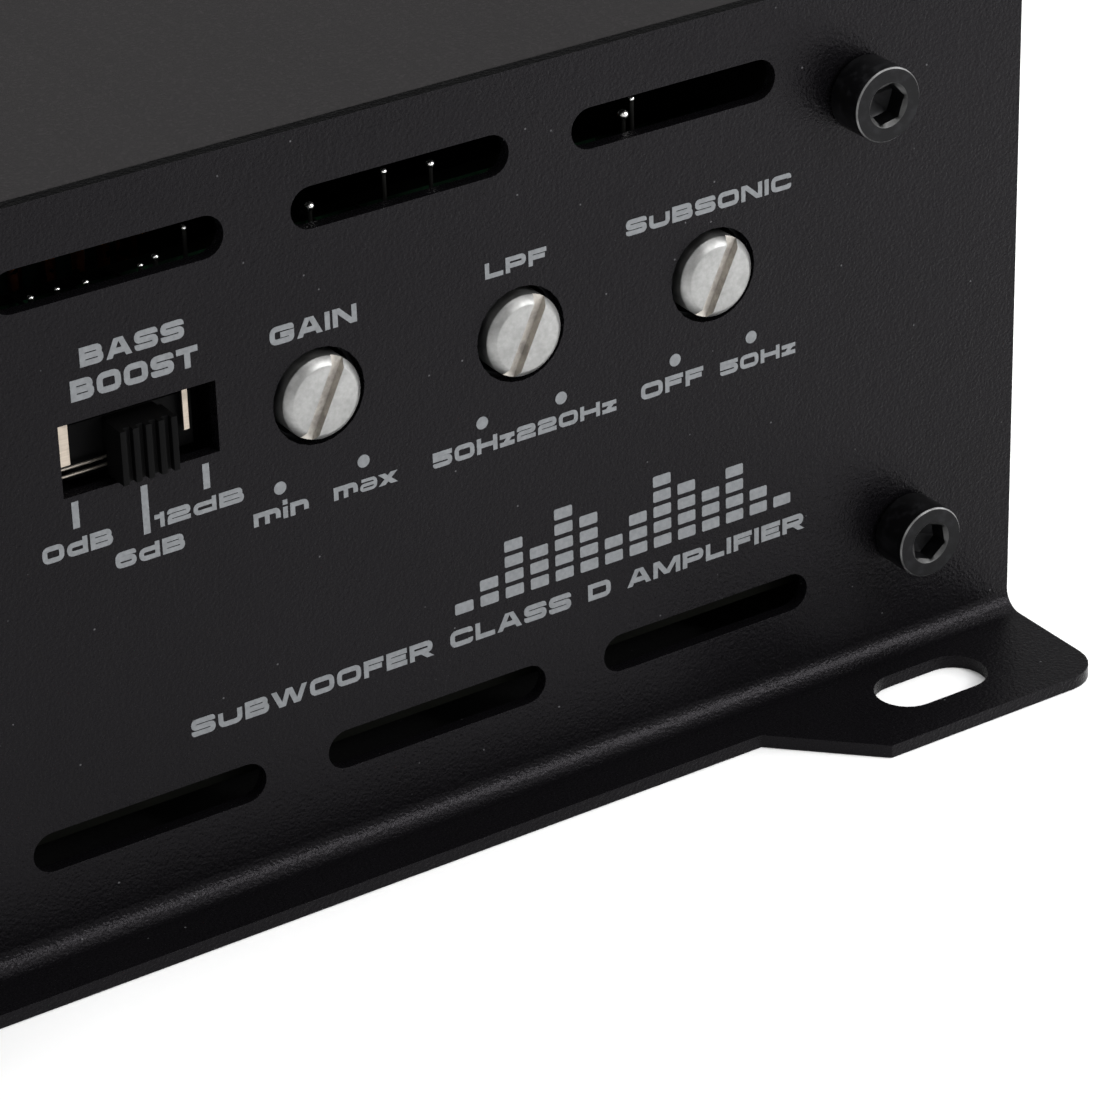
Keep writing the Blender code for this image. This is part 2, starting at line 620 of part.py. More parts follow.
def build_switch(materials):
    width, height, depth = SWITCH_FRAME
    inner_face = -HALF_LENGTH + PLATE_SHEET
    front = inner_face + GAP
    board_face = CONTROL_BOARD_Y - GAP
    place = (SWITCH_X + SWITCH_OFFSET[0], 0, SWITCH_Z + SWITCH_OFFSET[1])
    base = rectangle(0, 0, width - 4.0 * MM, height - 2.0 * MM)
    box = rectangle(0, 0, width, height)
    frame = make("bass_switch_frame", materials["tinned"], place, [(box, "Y", front, front + depth)])
    overlap = 1.0 * MM
    join(frame, [(base, "Y", front + depth - overlap, board_face)])
    slot_half = LEVER_WIDTH / 2 + SWITCH_TRAVEL + GAP
    carrier_half = slot_half + CARRIER_OVERLAP
    cavity_half = carrier_half + SWITCH_TRAVEL + GAP
    wall_back = front + SWITCH_FRAME_WALL
    cavity_back = wall_back + CARRIER_THICKNESS + 2 * GAP
    opening = [
        (-slot_half, front - OVERCUT),
        (slot_half, front - OVERCUT),
        (slot_half, wall_back),
        (cavity_half, wall_back),
        (cavity_half, cavity_back),
        (-cavity_half, cavity_back),
        (-cavity_half, wall_back),
        (-slot_half, wall_back),
    ]
    reach = LEVER_HEIGHT / 2 + GAP
    cut(frame, [(opening, "Z", -reach, reach)])

    tip = -HALF_LENGTH - LEVER_PROUD
    half = LEVER_WIDTH / 2
    rib = LEVER_WIDTH / (2 * LEVER_RIBS - 1)
    outline = []
    for index in range(LEVER_RIBS):
        left = -half + 2 * index * rib
        if index:
            outline += [(left - rib, tip + RIB_DEPTH), (left, tip + RIB_DEPTH)]
        outline += [(left, tip), (left + rib, tip)]
    carrier_front = wall_back + GAP
    carrier_back = carrier_front + CARRIER_THICKNESS
    outline += [
        (half, carrier_front),
        (carrier_half, carrier_front),
        (carrier_half, carrier_back),
        (-carrier_half, carrier_back),
        (-carrier_half, carrier_front),
        (-half, carrier_front),
    ]
    lever = (outline, "Z", -LEVER_HEIGHT / 2, LEVER_HEIGHT / 2)
    make("bass_switch_lever", materials["switch"], place, [lever])


def flanged_block(name, material, place, size, face_y, flange_y, back_y):
    """A block that stands through a window in an end plate, with a flange behind the sheet."""
    width, height = size
    lip = FLANGE_REACH
    inward = 1 if back_y > face_y else -1
    flange_end = flange_y + inward * FLANGE_THICKNESS
    half, wide = width / 2, width / 2 + lip
    outline = [
        (-half, face_y),
        (half, face_y),
        (half, flange_y),
        (wide, flange_y),
        (wide, flange_end),
        (half, flange_end),
        (half, back_y),
        (-half, back_y),
        (-half, flange_end),
        (-wide, flange_end),
        (-wide, flange_y),
        (-half, flange_y),
    ]
    return make(name, material, place, [(outline, "Z", -height / 2, height / 2)])


def lamp_heights():
    return [CONTROL_Z + LAMP_SPREAD, CONTROL_Z - LAMP_SPREAD]


def build_signal_end(materials):
    flange_y = -HALF_LENGTH + PLATE_SHEET + GAP
    board_face = CONTROL_BOARD_Y - GAP
    jack_face = -HALF_LENGTH - JACK_FACE_PROUD
    place = (JACK_BLOCK_X, 0, CONTROL_Z)
    block = flanged_block(
        "input_jack_block", materials["socket"], place, JACK_BLOCK, jack_face, flange_y, board_face
    )
    shell_front = -HALF_LENGTH - JACK_SHELL_PROUD
    core_front = shell_front + 1.0 * MM
    offsets = (-JACK_PITCH / 2, JACK_PITCH / 2)
    seat_end = jack_face + JACK_SHELL_SEAT
    # Each jack is a round seat for the shell, with the insulating core standing in its middle.
    seat = JACK_SHELL + 2 * GAP
    cut(block, [(circle(x, 0, seat, 24), "Y", jack_face - OVERCUT, seat_end) for x in offsets])
    join(block, [(circle(x, 0, JACK_CORE, 16), "Y", core_front, seat_end + 1.0 * MM) for x in offsets])
    pin_end = core_front + JACK_PIN_DEPTH
    cut(block, [(circle(x, 0, JACK_PIN_HOLE, 12), "Y", core_front - OVERCUT, pin_end) for x in offsets])
    smooth_round(block)
    for side, x in zip(("left", "right"), offsets):
        tube_end = seat_end - GAP
        shell = make(
            f"input_jack_shell_{side}",
            materials["nickel"],
            (JACK_BLOCK_X + x, 0, CONTROL_Z),
            [(circle(0, 0, JACK_SHELL, 24), "Y", shell_front, tube_end)],
        )
        inside = circle(0, 0, JACK_SHELL - 2 * JACK_SHELL_WALL, 24)
        cut(shell, [(inside, "Y", shell_front - OVERCUT, tube_end + OVERCUT)])
        smooth_round(shell)

    port_face = -HALF_LENGTH - PORT_FACE_PROUD
    port = make(
        "remote_port",
        materials["socket"],
        (PORT_X, 0, CONTROL_Z),
        [(rectangle(0, 0, *PORT_OUTER), "Y", port_face, board_face)],
    )
    latch = rectangle(0, -PORT_OPENING[1] / 2 - 0.5 * MM, 3.6 * MM, 2.0 * MM)
    cut(port, [(rectangle(0, 0, *PORT_OPENING), "Y", port_face - OVERCUT, port_face + PORT_DEPTH)])
    cut(port, [(latch, "Y", port_face - OVERCUT, port_face + PORT_DEPTH)])

    for name, z in zip(("power_lamp", "protect_lamp"), lamp_heights()):
        length = board_face + HALF_LENGTH + LAMP_PROUD
        radius = LAMP / 2
        dome = [(0, length)] + arc(0, length - radius, radius, 60, 0, 3)
        profile = dome + [(radius, 0), (0, 0)]
        lamp = make(name, materials[name], (LAMP_X, board_face, z), profile=profile, sides=16)
        lamp.rotation_euler = (pi / 2, 0, 0)
        smooth_round(lamp)


# ---------------------------------------------------------------- boards and their parts


def build_boards(materials):
    plan = rectangle(0, 0, MAIN_BOARD_WIDTH, MAIN_BOARD_LENGTH)
    board = make("main_board", materials["board"], prisms=[(plan, "Z", BOARD_BOTTOM, BOARD_TOP)])
    places = board_screw_places()
    drill = [
        (circle(x, y, THREAD_HOLE, 12), "Z", BOARD_BOTTOM - OVERCUT, BOARD_TOP + OVERCUT) for x, y in places
    ]
    cut(board, drill)

    half = CONTROL_BOARD_WIDTH / 2
    outline = [(half, CONTROL_BOARD_BOTTOM), (half, CONTROL_BOARD_TOP), (-half, CONTROL_BOARD_TOP)]
    outline.append((-half, CONTROL_BOARD_BOTTOM))
    bottom = CONTROL_BOARD_BOTTOM
    for x in (-TONGUE_X, TONGUE_X):
        left, right = x - TONGUE_WIDTH / 2, x + TONGUE_WIDTH / 2
        outline += [(left, bottom), (left, SEAT_Z), (right, SEAT_Z), (right, bottom)]
    ends = (CONTROL_BOARD_Y, CONTROL_BOARD_Y + BOARD_THICKNESS)
    make("control_board", materials["board"], prisms=[(outline, "Y", *ends)])


def ring_profile(outside, hole, height):
    """A wound ring's section with its corners rounded off."""
    corner = height * 0.25
    outer, inner = outside / 2, hole / 2
    return [
        *arc(outer - corner, corner, corner, -90, 0, 2),
        *arc(outer - corner, height - corner, corner, 0, 90, 2),
        *arc(inner + corner, height - corner, corner, 90, 180, 2),
        *arc(inner + corner, corner, corner, 180, 270, 2),
    ]


def build_ring(name, material, size, place):
    """A toroid: its closed section is turned about the vertical."""
    bm = bmesh.new()
    points = [bm.verts.new((radius, 0, height)) for radius, height in ring_profile(*size)]
    edges = [bm.edges.new(pair) for pair in zip(points, points[1:] + points[:1])]
    bmesh.ops.spin(
        bm, geom=points + edges, cent=(0, 0, 0), axis=(0, 0, 1), angle=2 * pi, steps=16, use_merge=True
    )
    bmesh.ops.remove_doubles(bm, verts=bm.verts, dist=0.001 * MM)
    bmesh.ops.recalc_face_normals(bm, faces=bm.faces)
    ring = make(name, material, (*place, SEAT_Z))
    bm.to_mesh(ring.data)
    bm.free()
    smooth_round(ring)


def build_board_parts(materials):
    build_ring("power_transformer", materials["winding"], TRANSFORMER, TRANSFORMER_PLACE)
    build_ring("output_inductor", materials["winding"], INDUCTOR, INDUCTOR_PLACE)

    radius, height = CAPACITOR[0] / 2, CAPACITOR[1]
    rim = 0.8 * MM
    can = [(0, 0), (radius, 0), (radius, height - rim), (radius - rim, height), (0, height)]
    for index, (x, y) in enumerate(CAPACITOR_PLACES, 1):
        capacitor = make(f"capacitor_{index}", materials["sleeve"], (x, y, SEAT_Z), profile=can, sides=20)
        smooth_round(capacitor)

    thick, wide, tall = TRANSISTOR
    back = WALL_INNER_X - GAP
    middle = back - thick / 2
    for side, sign in (("left", -1), ("right", 1)):
        place = (0, TRANSISTOR_Y, 0)
        body = (rectangle(sign * middle, 0, thick, wide), "Z", TRANSISTOR_BOTTOM, TRANSISTOR_BOTTOM + tall)
        transistor = make(f"transistor_{side}", materials["package"], place, [body])
        inner = middle - LEG_INSET
        elbow = TRANSISTOR_BOTTOM - LEG_DROP
        bend = [
            (middle + LEG / 2, TRANSISTOR_BOTTOM + OVERCUT),
            (middle - LEG / 2, TRANSISTOR_BOTTOM + OVERCUT),
            (middle - LEG / 2, elbow),
            (inner - LEG / 2, elbow),
            (inner - LEG / 2, SEAT_Z),
            (inner + LEG / 2, SEAT_Z),
            (inner + LEG / 2, elbow - LEG),
            (middle + LEG / 2, elbow - LEG),
        ]
        section = [(sign * x, z) for x, z in bend]
        middles = [step * LEG_PITCH for step in (-1, 0, 1)]
        join(transistor, [(section, "Y", leg - LEG / 2, leg + LEG / 2) for leg in middles])
        height = TRANSISTOR_BOTTOM + TRANSISTOR_SCREW_Z
        ends = sorted((sign * (middle - thick), sign * (middle + thick)))
        cut(transistor, [(circle(0, height, THREAD_HOLE, 12), "X", *ends)])


# ---------------------------------------------------------------- terminal end


def terminal_size(positions):
    return (positions * TERMINAL_PITCH + 2 * TERMINAL_MARGIN, TERMINAL_HEIGHT)


def terminal_row():
    """The power block, fuse holder and speaker block side by side, as (middle x, size) of each."""
    sizes = [terminal_size(len(POWER_WIRES)), FUSE_HOLDER, terminal_size(len(SPEAKER_WIRES))]
    spaces = [width + 2 * FLANGE_REACH for width, _ in sizes]
    left = -(sum(spaces) + 2 * TERMINAL_SPACING) / 2
    row = []
    for size, space in zip(sizes, spaces):
        row.append((left + space / 2, size))
        left += space + TERMINAL_SPACING
    return row


def build_terminal_block(name, place_in_row, labels, materials):
    """A moulded block with one plated contact and one set screw for each wire."""
    outer = HALF_LENGTH + TERMINAL_PROUD
    flange_y = HALF_LENGTH - PLATE_SHEET - GAP
    back = HALF_LENGTH - PLATE_SHEET - TERMINAL_INSIDE
    middle_z = SEAT_Z + TERMINAL_HEIGHT / 2
    middle_x, size = place_in_row
    place = (middle_x, 0, middle_z)
    housing = flanged_block(name, materials["terminal"], place, size, outer, flange_y, back)
    offsets = [(index - (len(labels) - 1) / 2) * TERMINAL_PITCH for index in range(len(labels))]
    wire = WIRE_LEVEL - middle_z
    width, depth, height = CONTACT
    contact_front = outer - CONTACT_RECESS
    contact_back = contact_front - depth
    pocket = (width + 2 * GAP, height + 2 * GAP)
    cut(housing, [(rectangle(x, wire, *pocket), "Y", contact_back - GAP, outer + OVERCUT) for x in offsets])
    screw_y = outer - SET_SCREW_REACH
    well = SET_SCREW + 4 * GAP
    cut(housing, [(circle(x, screw_y, well, 16), "Z", wire, TERMINAL_HEIGHT / 2 + OVERCUT) for x in offsets])
    smooth_round(housing)

    screw_bottom = WIRE_LEVEL + WIRE_BORE / 2 + GAP
    radius = SET_SCREW / 2
    rim = 0.3 * MM
    for label, offset in zip(labels, offsets):
        x = middle_x + offset
        contact = make(
            f"{label}_contact",
            materials["plated"],
            (x, 0, WIRE_LEVEL),
            [(rectangle(0, 0, width, height), "Y", contact_back, contact_front)],
        )
        bore_end = contact_front - WIRE_BORE_DEPTH
        cut(contact, [(circle(0, 0, WIRE_BORE, 20), "Y", bore_end, contact_front + OVERCUT)])
        cut(contact, [(circle(0, screw_y, SET_SCREW + 2 * GAP, 16), "Z", 0, height / 2 + OVERCUT)])
        smooth_round(contact)
        profile = [
            (0, 0),
            (radius - rim, 0),
            (radius, rim),
            (radius, SET_SCREW_LENGTH - rim),
            (radius - rim, SET_SCREW_LENGTH),
            (0, SET_SCREW_LENGTH),
        ]
        place = (x, screw_y, screw_bottom)
        screw = make(f"{label}_set_screw", materials["bright_screw"], place, profile=profile, sides=16)
        top = SET_SCREW_LENGTH
        cut(screw, [(hexagon(0, 0, SET_SOCKET), "Z", top - SET_SOCKET_DEPTH, top + OVERCUT)])
        smooth_round(screw)


def build_fuses(place_in_row, materials):
    outer = HALF_LENGTH + FUSE_HOLDER_PROUD
    flange_y = HALF_LENGTH - PLATE_SHEET - GAP
    back = HALF_LENGTH - PLATE_SHEET - FUSE_HOLDER_INSIDE
    middle_x, size = place_in_row
    middle_z = SEAT_Z + size[1] / 2
    place = (middle_x, 0, middle_z)
    holder = flanged_block("fuse_holder", materials["terminal"], place, size, outer, flange_y, back)
    offsets = (-FUSE_PITCH / 2, FUSE_PITCH / 2)
    seat = outer - FUSE_SEAT_DEPTH
    thick, tall = FUSE_BODY
    blade_thick, blade_tall, blade_long = FUSE_BLADE
    spreads = (-FUSE_BLADE_SPREAD, FUSE_BLADE_SPREAD)
    pocket = (thick + 2 * GAP, tall + 2 * GAP)
    cut(holder, [(rectangle(x, 0, *pocket), "Y", seat, outer + OVERCUT) for x in offsets])
    slot = (blade_thick + 2 * GAP, blade_tall + 2 * GAP)
    slot_end = seat - blade_long - GAP
    spots = [(x, z) for x in offsets for z in spreads]
    cut(holder, [(rectangle(x, z, *slot), "Y", slot_end, seat + OVERCUT) for x, z in spots])
    for index, x in enumerate(offsets, 1):
        body_inner = seat + GAP
        fuse = make(
            f"fuse_{index}",
            materials["fuse"],
            (middle_x + x, 0, middle_z),
            [(rectangle(0, 0, thick, tall), "Y", body_inner, body_inner + FUSE_BODY_DEPTH)],
        )
        root = body_inner + 1.0 * MM
        tip = body_inner - blade_long + GAP
        join(fuse, [(rectangle(0, z, blade_thick, blade_tall), "Y", tip, root) for z in spreads])


# ---------------------------------------------------------------- assembly


def build_materials():
    return {
        "plate": finish("plate", (0.016, 0.016, 0.018), 0.45, 0.0),
        "heatsink": finish("heatsink", (0.040, 0.038, 0.037), 0.60, 0.3),
        "cover": finish("cover", (0.018, 0.018, 0.019), 0.55, 0.0),
        "screw": finish("screw", (0.012, 0.012, 0.013), 0.35, 0.8),
        "bright_screw": finish("bright_screw", (0.60, 0.60, 0.58), 0.35, 1.0),
        "board": finish("board", (0.02, 0.12, 0.05), 0.50),
        "pot_body": finish("pot_body", (0.05, 0.07, 0.16), 0.50),
        "shaft": finish("shaft", (0.62, 0.62, 0.60), 0.30, 1.0),
        "tinned": finish("tinned", (0.66, 0.60, 0.52), 0.40, 1.0),
        "switch": finish("switch", (0.010, 0.010, 0.010), 0.50),
        "socket": finish("socket", (0.012, 0.012, 0.013), 0.45),
        "nickel": finish("nickel", (0.68, 0.66, 0.62), 0.25, 1.0),
        "power_lamp": finish("power_lamp", (0.05, 0.35, 0.08), 0.20),
        "protect_lamp": finish("protect_lamp", (0.45, 0.03, 0.03), 0.20),
        "winding": finish("winding", (0.55, 0.24, 0.10), 0.35, 0.6),
        "sleeve": finish("sleeve", (0.02, 0.03, 0.05), 0.40),
        "package": finish("package", (0.03, 0.03, 0.03), 0.50),
        "terminal": finish("terminal", (0.015, 0.015, 0.016), 0.45),
        "plated": finish("plated", (0.70, 0.68, 0.64), 0.28, 1.0),
        "fuse": finish("fuse", (0.15, 0.42, 0.10), 0.25),
    }


def main():
    for obj in list(bpy.data.objects):
        bpy.data.objects.remove(obj)
    materials = build_materials()
    build_heatsink(materials)
    build_front_plate(materials)
    build_rear_plate(materials)
    build_bottom_cover(materials)
    build_screws(materials)
    build_pots(materials)
    build_switch(materials)
    build_signal_end(materials)
    build_boards(materials)
    build_board_parts(materials)
    power_place, fuse_place, speaker_place = terminal_row()
    build_terminal_block("power_terminal_block", power_place, POWER_WIRES, materials)
    build_terminal_block("speaker_terminal_block", speaker_place, SPEAKER_WIRES, materials)
    build_fuses(fuse_place, materials)


main()
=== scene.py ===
"""Looks of a compact mono car amplifier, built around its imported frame.

Every sub-assembly is a class: its fields hold its sizes, and its build method makes its pieces, dresses them
in their finishes and lets them ride on the frame's bodies. Sizes are metres, written with MM. +X runs right
along the control end, +Y from the control end to the terminal end, +Z up.
"""

import logging
import math
import random
from dataclasses import dataclass
from enum import Enum
from typing import Callable, Iterable, Optional, Sequence

import bmesh
import bpy
from mathutils import Matrix, Vector
from mathutils.geometry import delaunay_2d_cdt

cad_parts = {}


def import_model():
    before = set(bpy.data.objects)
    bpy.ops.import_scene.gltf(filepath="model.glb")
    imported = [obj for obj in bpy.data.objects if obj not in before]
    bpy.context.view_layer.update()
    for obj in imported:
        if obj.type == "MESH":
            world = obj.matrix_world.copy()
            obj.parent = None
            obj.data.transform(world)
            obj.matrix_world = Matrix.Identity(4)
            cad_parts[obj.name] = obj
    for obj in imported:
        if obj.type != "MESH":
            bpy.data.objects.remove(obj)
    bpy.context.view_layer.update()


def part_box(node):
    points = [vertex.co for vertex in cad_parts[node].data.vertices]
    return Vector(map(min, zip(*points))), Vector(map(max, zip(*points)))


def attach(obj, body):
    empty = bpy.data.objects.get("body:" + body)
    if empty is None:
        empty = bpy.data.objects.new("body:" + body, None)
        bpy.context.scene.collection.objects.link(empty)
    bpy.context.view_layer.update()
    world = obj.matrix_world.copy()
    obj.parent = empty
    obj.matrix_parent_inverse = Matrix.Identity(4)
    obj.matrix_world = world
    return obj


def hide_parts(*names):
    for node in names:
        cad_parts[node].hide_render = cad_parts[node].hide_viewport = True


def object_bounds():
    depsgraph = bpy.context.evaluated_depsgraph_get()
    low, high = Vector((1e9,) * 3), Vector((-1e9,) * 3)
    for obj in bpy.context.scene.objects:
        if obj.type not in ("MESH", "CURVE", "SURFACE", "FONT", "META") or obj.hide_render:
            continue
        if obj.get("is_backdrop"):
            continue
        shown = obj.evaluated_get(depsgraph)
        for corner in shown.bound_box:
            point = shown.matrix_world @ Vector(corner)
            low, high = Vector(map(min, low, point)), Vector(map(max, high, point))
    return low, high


MM = 0.001
WELD = 0.001 * MM  # points closer than this are one point
FLAT = math.radians(0.5)  # faces that differ by less are one face
SHARP = math.radians(35)  # edges sharper than this are broken
ROUND = math.radians(32)  # edges blunter than this are shaded round
CORNER_STEPS = 5  # facets of a rectangle's rounded corner
BEND_STEPS = 4  # straight stretches of a letter's bend
LOG = logging.getLogger("amplifier")

Point = tuple[float, float]
Outline = list[Point]
Tone = tuple[float, float, float]
Socket = bpy.types.NodeSocket


class Axis(Enum):
    """The direction that a shape is extruded or turned along."""

    X = "X"
    Y = "Y"
    Z = "Z"

    def place(self, first: float, second: float, along: float) -> Vector:
        """Return the point with two outline coordinates and a distance along this axis."""
        spots = {"X": (along, first, second), "Y": (first, along, second), "Z": (first, second, along)}
        return Vector(spots[self.value])


class Body(str, Enum):
    """The bodies of the frame that pieces ride on by a fixed name."""

    AMPLIFIER = "amplifier"
    LEVER = "bass_lever"


class Lay(Enum):
    """How the tool marks lie on a bare metal surface: how long a mark is along X, Y and Z."""

    CAST = (1.0, 1.0, 1.0)
    ALONG_X = (30.0, 1.0, 1.0)
    ALONG_Y = (1.0, 30.0, 1.0)


# ---------------------------------------------------------------- finishes


class Recipe:
    """Mixes one finish: a Principled shader fed by procedural textures in the piece's own space."""

    def __init__(self, name: str, roughness: float, metallic: float = 0.0, level: float = 0.5) -> None:
        """Start a finish.

        Args:
            name: the material's name.
            roughness: how matt it is, where no texture says otherwise.
            metallic: 1 for bare metal, 0 for paint and plastic.
            level: strength of the shine of paint or plastic.
        """
        self.material = bpy.data.materials.new(name)
        self.material.use_nodes = True
        self.nodes = self.material.node_tree.nodes
        self.links = self.material.node_tree.links
        self.shader = self.nodes["Principled BSDF"]
        self.put("Roughness", roughness)
        self.put("Metallic", metallic)
        self.put("Specular IOR Level", level)
        self.place = self.nodes.new("ShaderNodeTexCoord").outputs["Object"]

    def put(self, socket: str, value: object) -> None:
        """Set one of the shader's sockets to a value that is the same all over."""
        self.shader.inputs[socket].default_value = value

    def feed(self, socket: str, source: Socket) -> None:
        """Drive one of the shader's sockets by a texture."""
        self.links.new(source, self.shader.inputs[socket])

    def stretched(self, stretch: Sequence[float]) -> Socket:
        """Return the texture space of a feature that is longer one way than another.

        Args:
            stretch: how much longer it is along X, Y and Z.

        Returns:
            The space's socket.
        """
        mapping = self.nodes.new("ShaderNodeMapping")
        mapping.inputs["Scale"].default_value = [1.0 / share for share in stretch]
        self.links.new(self.place, mapping.inputs["Vector"])
        return mapping.outputs["Vector"]

    def noise(self, size: float, detail: float = 2.0, stretch: Sequence[float] = (1.0, 1.0, 1.0)) -> Socket:
        """Return cloudy noise.

        Args:
            size: width of one cloud, in metres.
            detail: how many finer octaves it has.
            stretch: how much longer a cloud is along X, Y and Z.

        Returns:
            The noise's value, around 0.5.
        """
        node = self.nodes.new("ShaderNodeTexNoise")
        node.inputs["Scale"].default_value = 1.0 / size
        node.inputs["Detail"].default_value = detail
        self.links.new(self.stretched(stretch), node.inputs["Vector"])
        return node.outputs[0]

    def cells(self, size: float, what: str = "Distance") -> Socket:
        """Return a cell pattern.

        Args:
            size: width of one cell, in metres.
            what: Distance from the cells' middles, or a random Color for each cell.

        Returns:
            The pattern's socket.
        """
        node = self.nodes.new("ShaderNodeTexVoronoi")
        node.inputs["Scale"].default_value = 1.0 / size
        self.links.new(self.place, node.inputs["Vector"])
        return node.outputs[what]

    def between(
        self, factor: Socket, low: Sequence[float], high: Sequence[float], start: float, end: float
    ) -> Socket:
        """Turn a texture value into a colour.

        Args:
            factor: the texture.
            low: colour up to start.
            high: colour from end on.
            start: texture value where the change begins.
            end: texture value where it is complete.

        Returns:
            The colour, or the grey that stands for a number.
        """
        ramp = self.nodes.new("ShaderNodeValToRGB")
        first, last = ramp.color_ramp.elements
        first.position, last.position = start, end
        first.color, last.color = (*low, 1.0), (*high, 1.0)
        self.links.new(factor, ramp.inputs["Fac"])
        return ramp.outputs["Color"]

    def grey(self, factor: Socket, low: float, high: float, start: float = 0.3, end: float = 0.7) -> Socket:
        """Return between() for a number from low to high."""
        return self.between(factor, (low, low, low), (high, high, high), start, end)

    def blend(self, factor: Socket, under: Socket | Tone, over: Socket | Tone) -> Socket:
        """Lay one colour over another.

        Args:
            factor: how much of the upper colour shows, from 0 to 1.
            under: the lower colour, a socket or a tone.
            over: the upper colour, a socket or a tone.

        Returns:
            The mixed colour's socket.
        """
        mix = self.nodes.new("ShaderNodeMix")
        mix.data_type = "RGBA"
        self.links.new(factor, mix.inputs[0])
        for index, colour in ((6, under), (7, over)):
            if isinstance(colour, Socket):
                self.links.new(colour, mix.inputs[index])
            else:
                mix.inputs[index].default_value = (*colour, 1.0)
        return mix.outputs[2]

    def relief(self, *layers: tuple[Socket, float]) -> None:
        """Give the surface its relief.

        Args:
            layers: textures with the depth of each in metres, the coarse ones first.
        """
        normal = None
        for height, depth in layers:
            bump = self.nodes.new("ShaderNodeBump")
            bump.inputs["Distance"].default_value = depth
            self.links.new(height, bump.inputs["Height"])
            if normal is not None:
                self.links.new(normal, bump.inputs["Normal"])
            normal = bump.outputs["Normal"]
        self.feed("Normal", normal)


def dimmed(tone: Tone, share: float) -> Tone:
    """Return a tone made darker, or lighter with a share over 1."""
    return tuple(min(1.0, part * share) for part in tone)


@dataclass(frozen=True)
class Finish:
    """What every finish has: a name, a tone in linear light, and one material shared by its pieces."""

    name: str
    tone: Tone = (0.2, 0.2, 0.2)

    def material(self) -> bpy.types.Material:
        """Return the finish's material, mixed when it is first asked for."""
        return bpy.data.materials.get(self.name) or self.mixed().material

    def mixed(self) -> Recipe:
        """Return the finish's recipe."""
        raise NotImplementedError


@dataclass(frozen=True)
class PowderCoat(Finish):
    """Fine-textured black powder coat: a glossy leathery grain with a few specks of dust on it."""

    peel: float = 0.22 * MM
    depth: float = 0.068 * MM
    shine: float = 0.096
    matt: float = 0.25
    dust: Tone = (0.075, 0.075, 0.078)

    def mixed(self) -> Recipe:
        """Mix the powder coat.

        Returns:
            Its recipe.
        """
        recipe = Recipe(self.name, self.matt, level=self.shine)
        recipe.put("Specular Tint", (0.98, 0.93, 1.0, 1.0))
        cloud = recipe.noise(18 * MM, 3)
        coat = recipe.between(cloud, dimmed(self.tone, 0.86), dimmed(self.tone, 1.14), 0.3, 0.7)
        dust = recipe.grey(recipe.cells(2.1 * MM), 1.0, 0.0, 0.022, 0.042)
        recipe.feed("Base Color", recipe.blend(dust, coat, self.dust))
        peel = recipe.noise(self.peel, 2.5)
        gloss = recipe.noise(self.peel * 0.6, 1)
        recipe.feed("Roughness", recipe.grey(gloss, self.matt - 0.07, self.matt + 0.10))
        recipe.relief((recipe.noise(2.4 * MM, 1), 0.03 * MM), (peel, self.depth))
        return recipe


@dataclass(frozen=True)
class Anodised(Finish):
    """Satin black anodised extrusion: etched grain with faint die lines along its length."""

    matt: float = 0.5
    shine: float = 0.12

    def mixed(self) -> Recipe:
        """Mix the anodised finish.

        Returns:
            Its recipe.
        """
        recipe = Recipe(self.name, self.matt, level=self.shine)
        lines = recipe.noise(0.5 * MM, 3, (1, 240, 1))
        etch = recipe.noise(0.22 * MM, 3)
        coat = recipe.between(lines, dimmed(self.tone, 0.92), dimmed(self.tone, 1.08), 0.25, 0.75)
        speck = recipe.grey(etch, 0.0, 0.8, 0.50, 0.68)
        recipe.feed("Base Color", recipe.blend(speck, coat, dimmed(self.tone, 1.9)))
        recipe.feed("Roughness", recipe.grey(etch, self.matt - 0.06, self.matt + 0.09))
        recipe.relief((lines, 0.004 * MM), (etch, 0.02 * MM))
        return recipe


@dataclass(frozen=True)
class BareMetal(Finish):
    """Bare or plated metal: tool marks in one direction, with handling stains in larger clouds."""

    matt: float = 0.3
    lay: Lay = Lay.CAST
    mark: float = 0.12 * MM
    depth: float = 0.003 * MM
    stain: float = 0.25

    def mixed(self) -> Recipe:
        """Mix the metal.

        Returns:
            Its recipe.
        """
        recipe = Recipe(self.name, self.matt, metallic=1.0)
        marks = recipe.noise(self.mark, 3, self.lay.value)
        cloud = recipe.noise(1.3 * MM, 4)
        fresh = recipe.between(marks, dimmed(self.tone, 0.88), dimmed(self.tone, 1.08), 0.3, 0.7)
        spots = recipe.grey(cloud, self.stain, 0.0, 0.36, 0.50)
        recipe.feed("Base Color", recipe.blend(spots, fresh, dimmed(self.tone, 0.42)))
        recipe.feed("Roughness", recipe.grey(cloud, self.matt + 0.16, self.matt - 0.03))
        recipe.relief((cloud, 0.006 * MM), (marks, self.depth))
        return recipe


@dataclass(frozen=True)
class BlackOxide(Finish):
    """Chemically blackened steel: almost black, oily, with thin patches where the steel shows."""

    matt: float = 0.29

    def mixed(self) -> Recipe:
        """Mix the black oxide.

        Returns:
            Its recipe.
        """
        recipe = Recipe(self.name, self.matt, metallic=0.5, level=0.15)
        cloud = recipe.noise(0.7 * MM, 5)
        recipe.feed("Base Color", recipe.between(cloud, self.tone, dimmed(self.tone, 3.2), 0.5, 0.78))
        recipe.feed("Roughness", recipe.grey(cloud, self.matt, self.matt + 0.2))
        recipe.relief((recipe.noise(0.1 * MM, 2), 0.004 * MM))
        return recipe


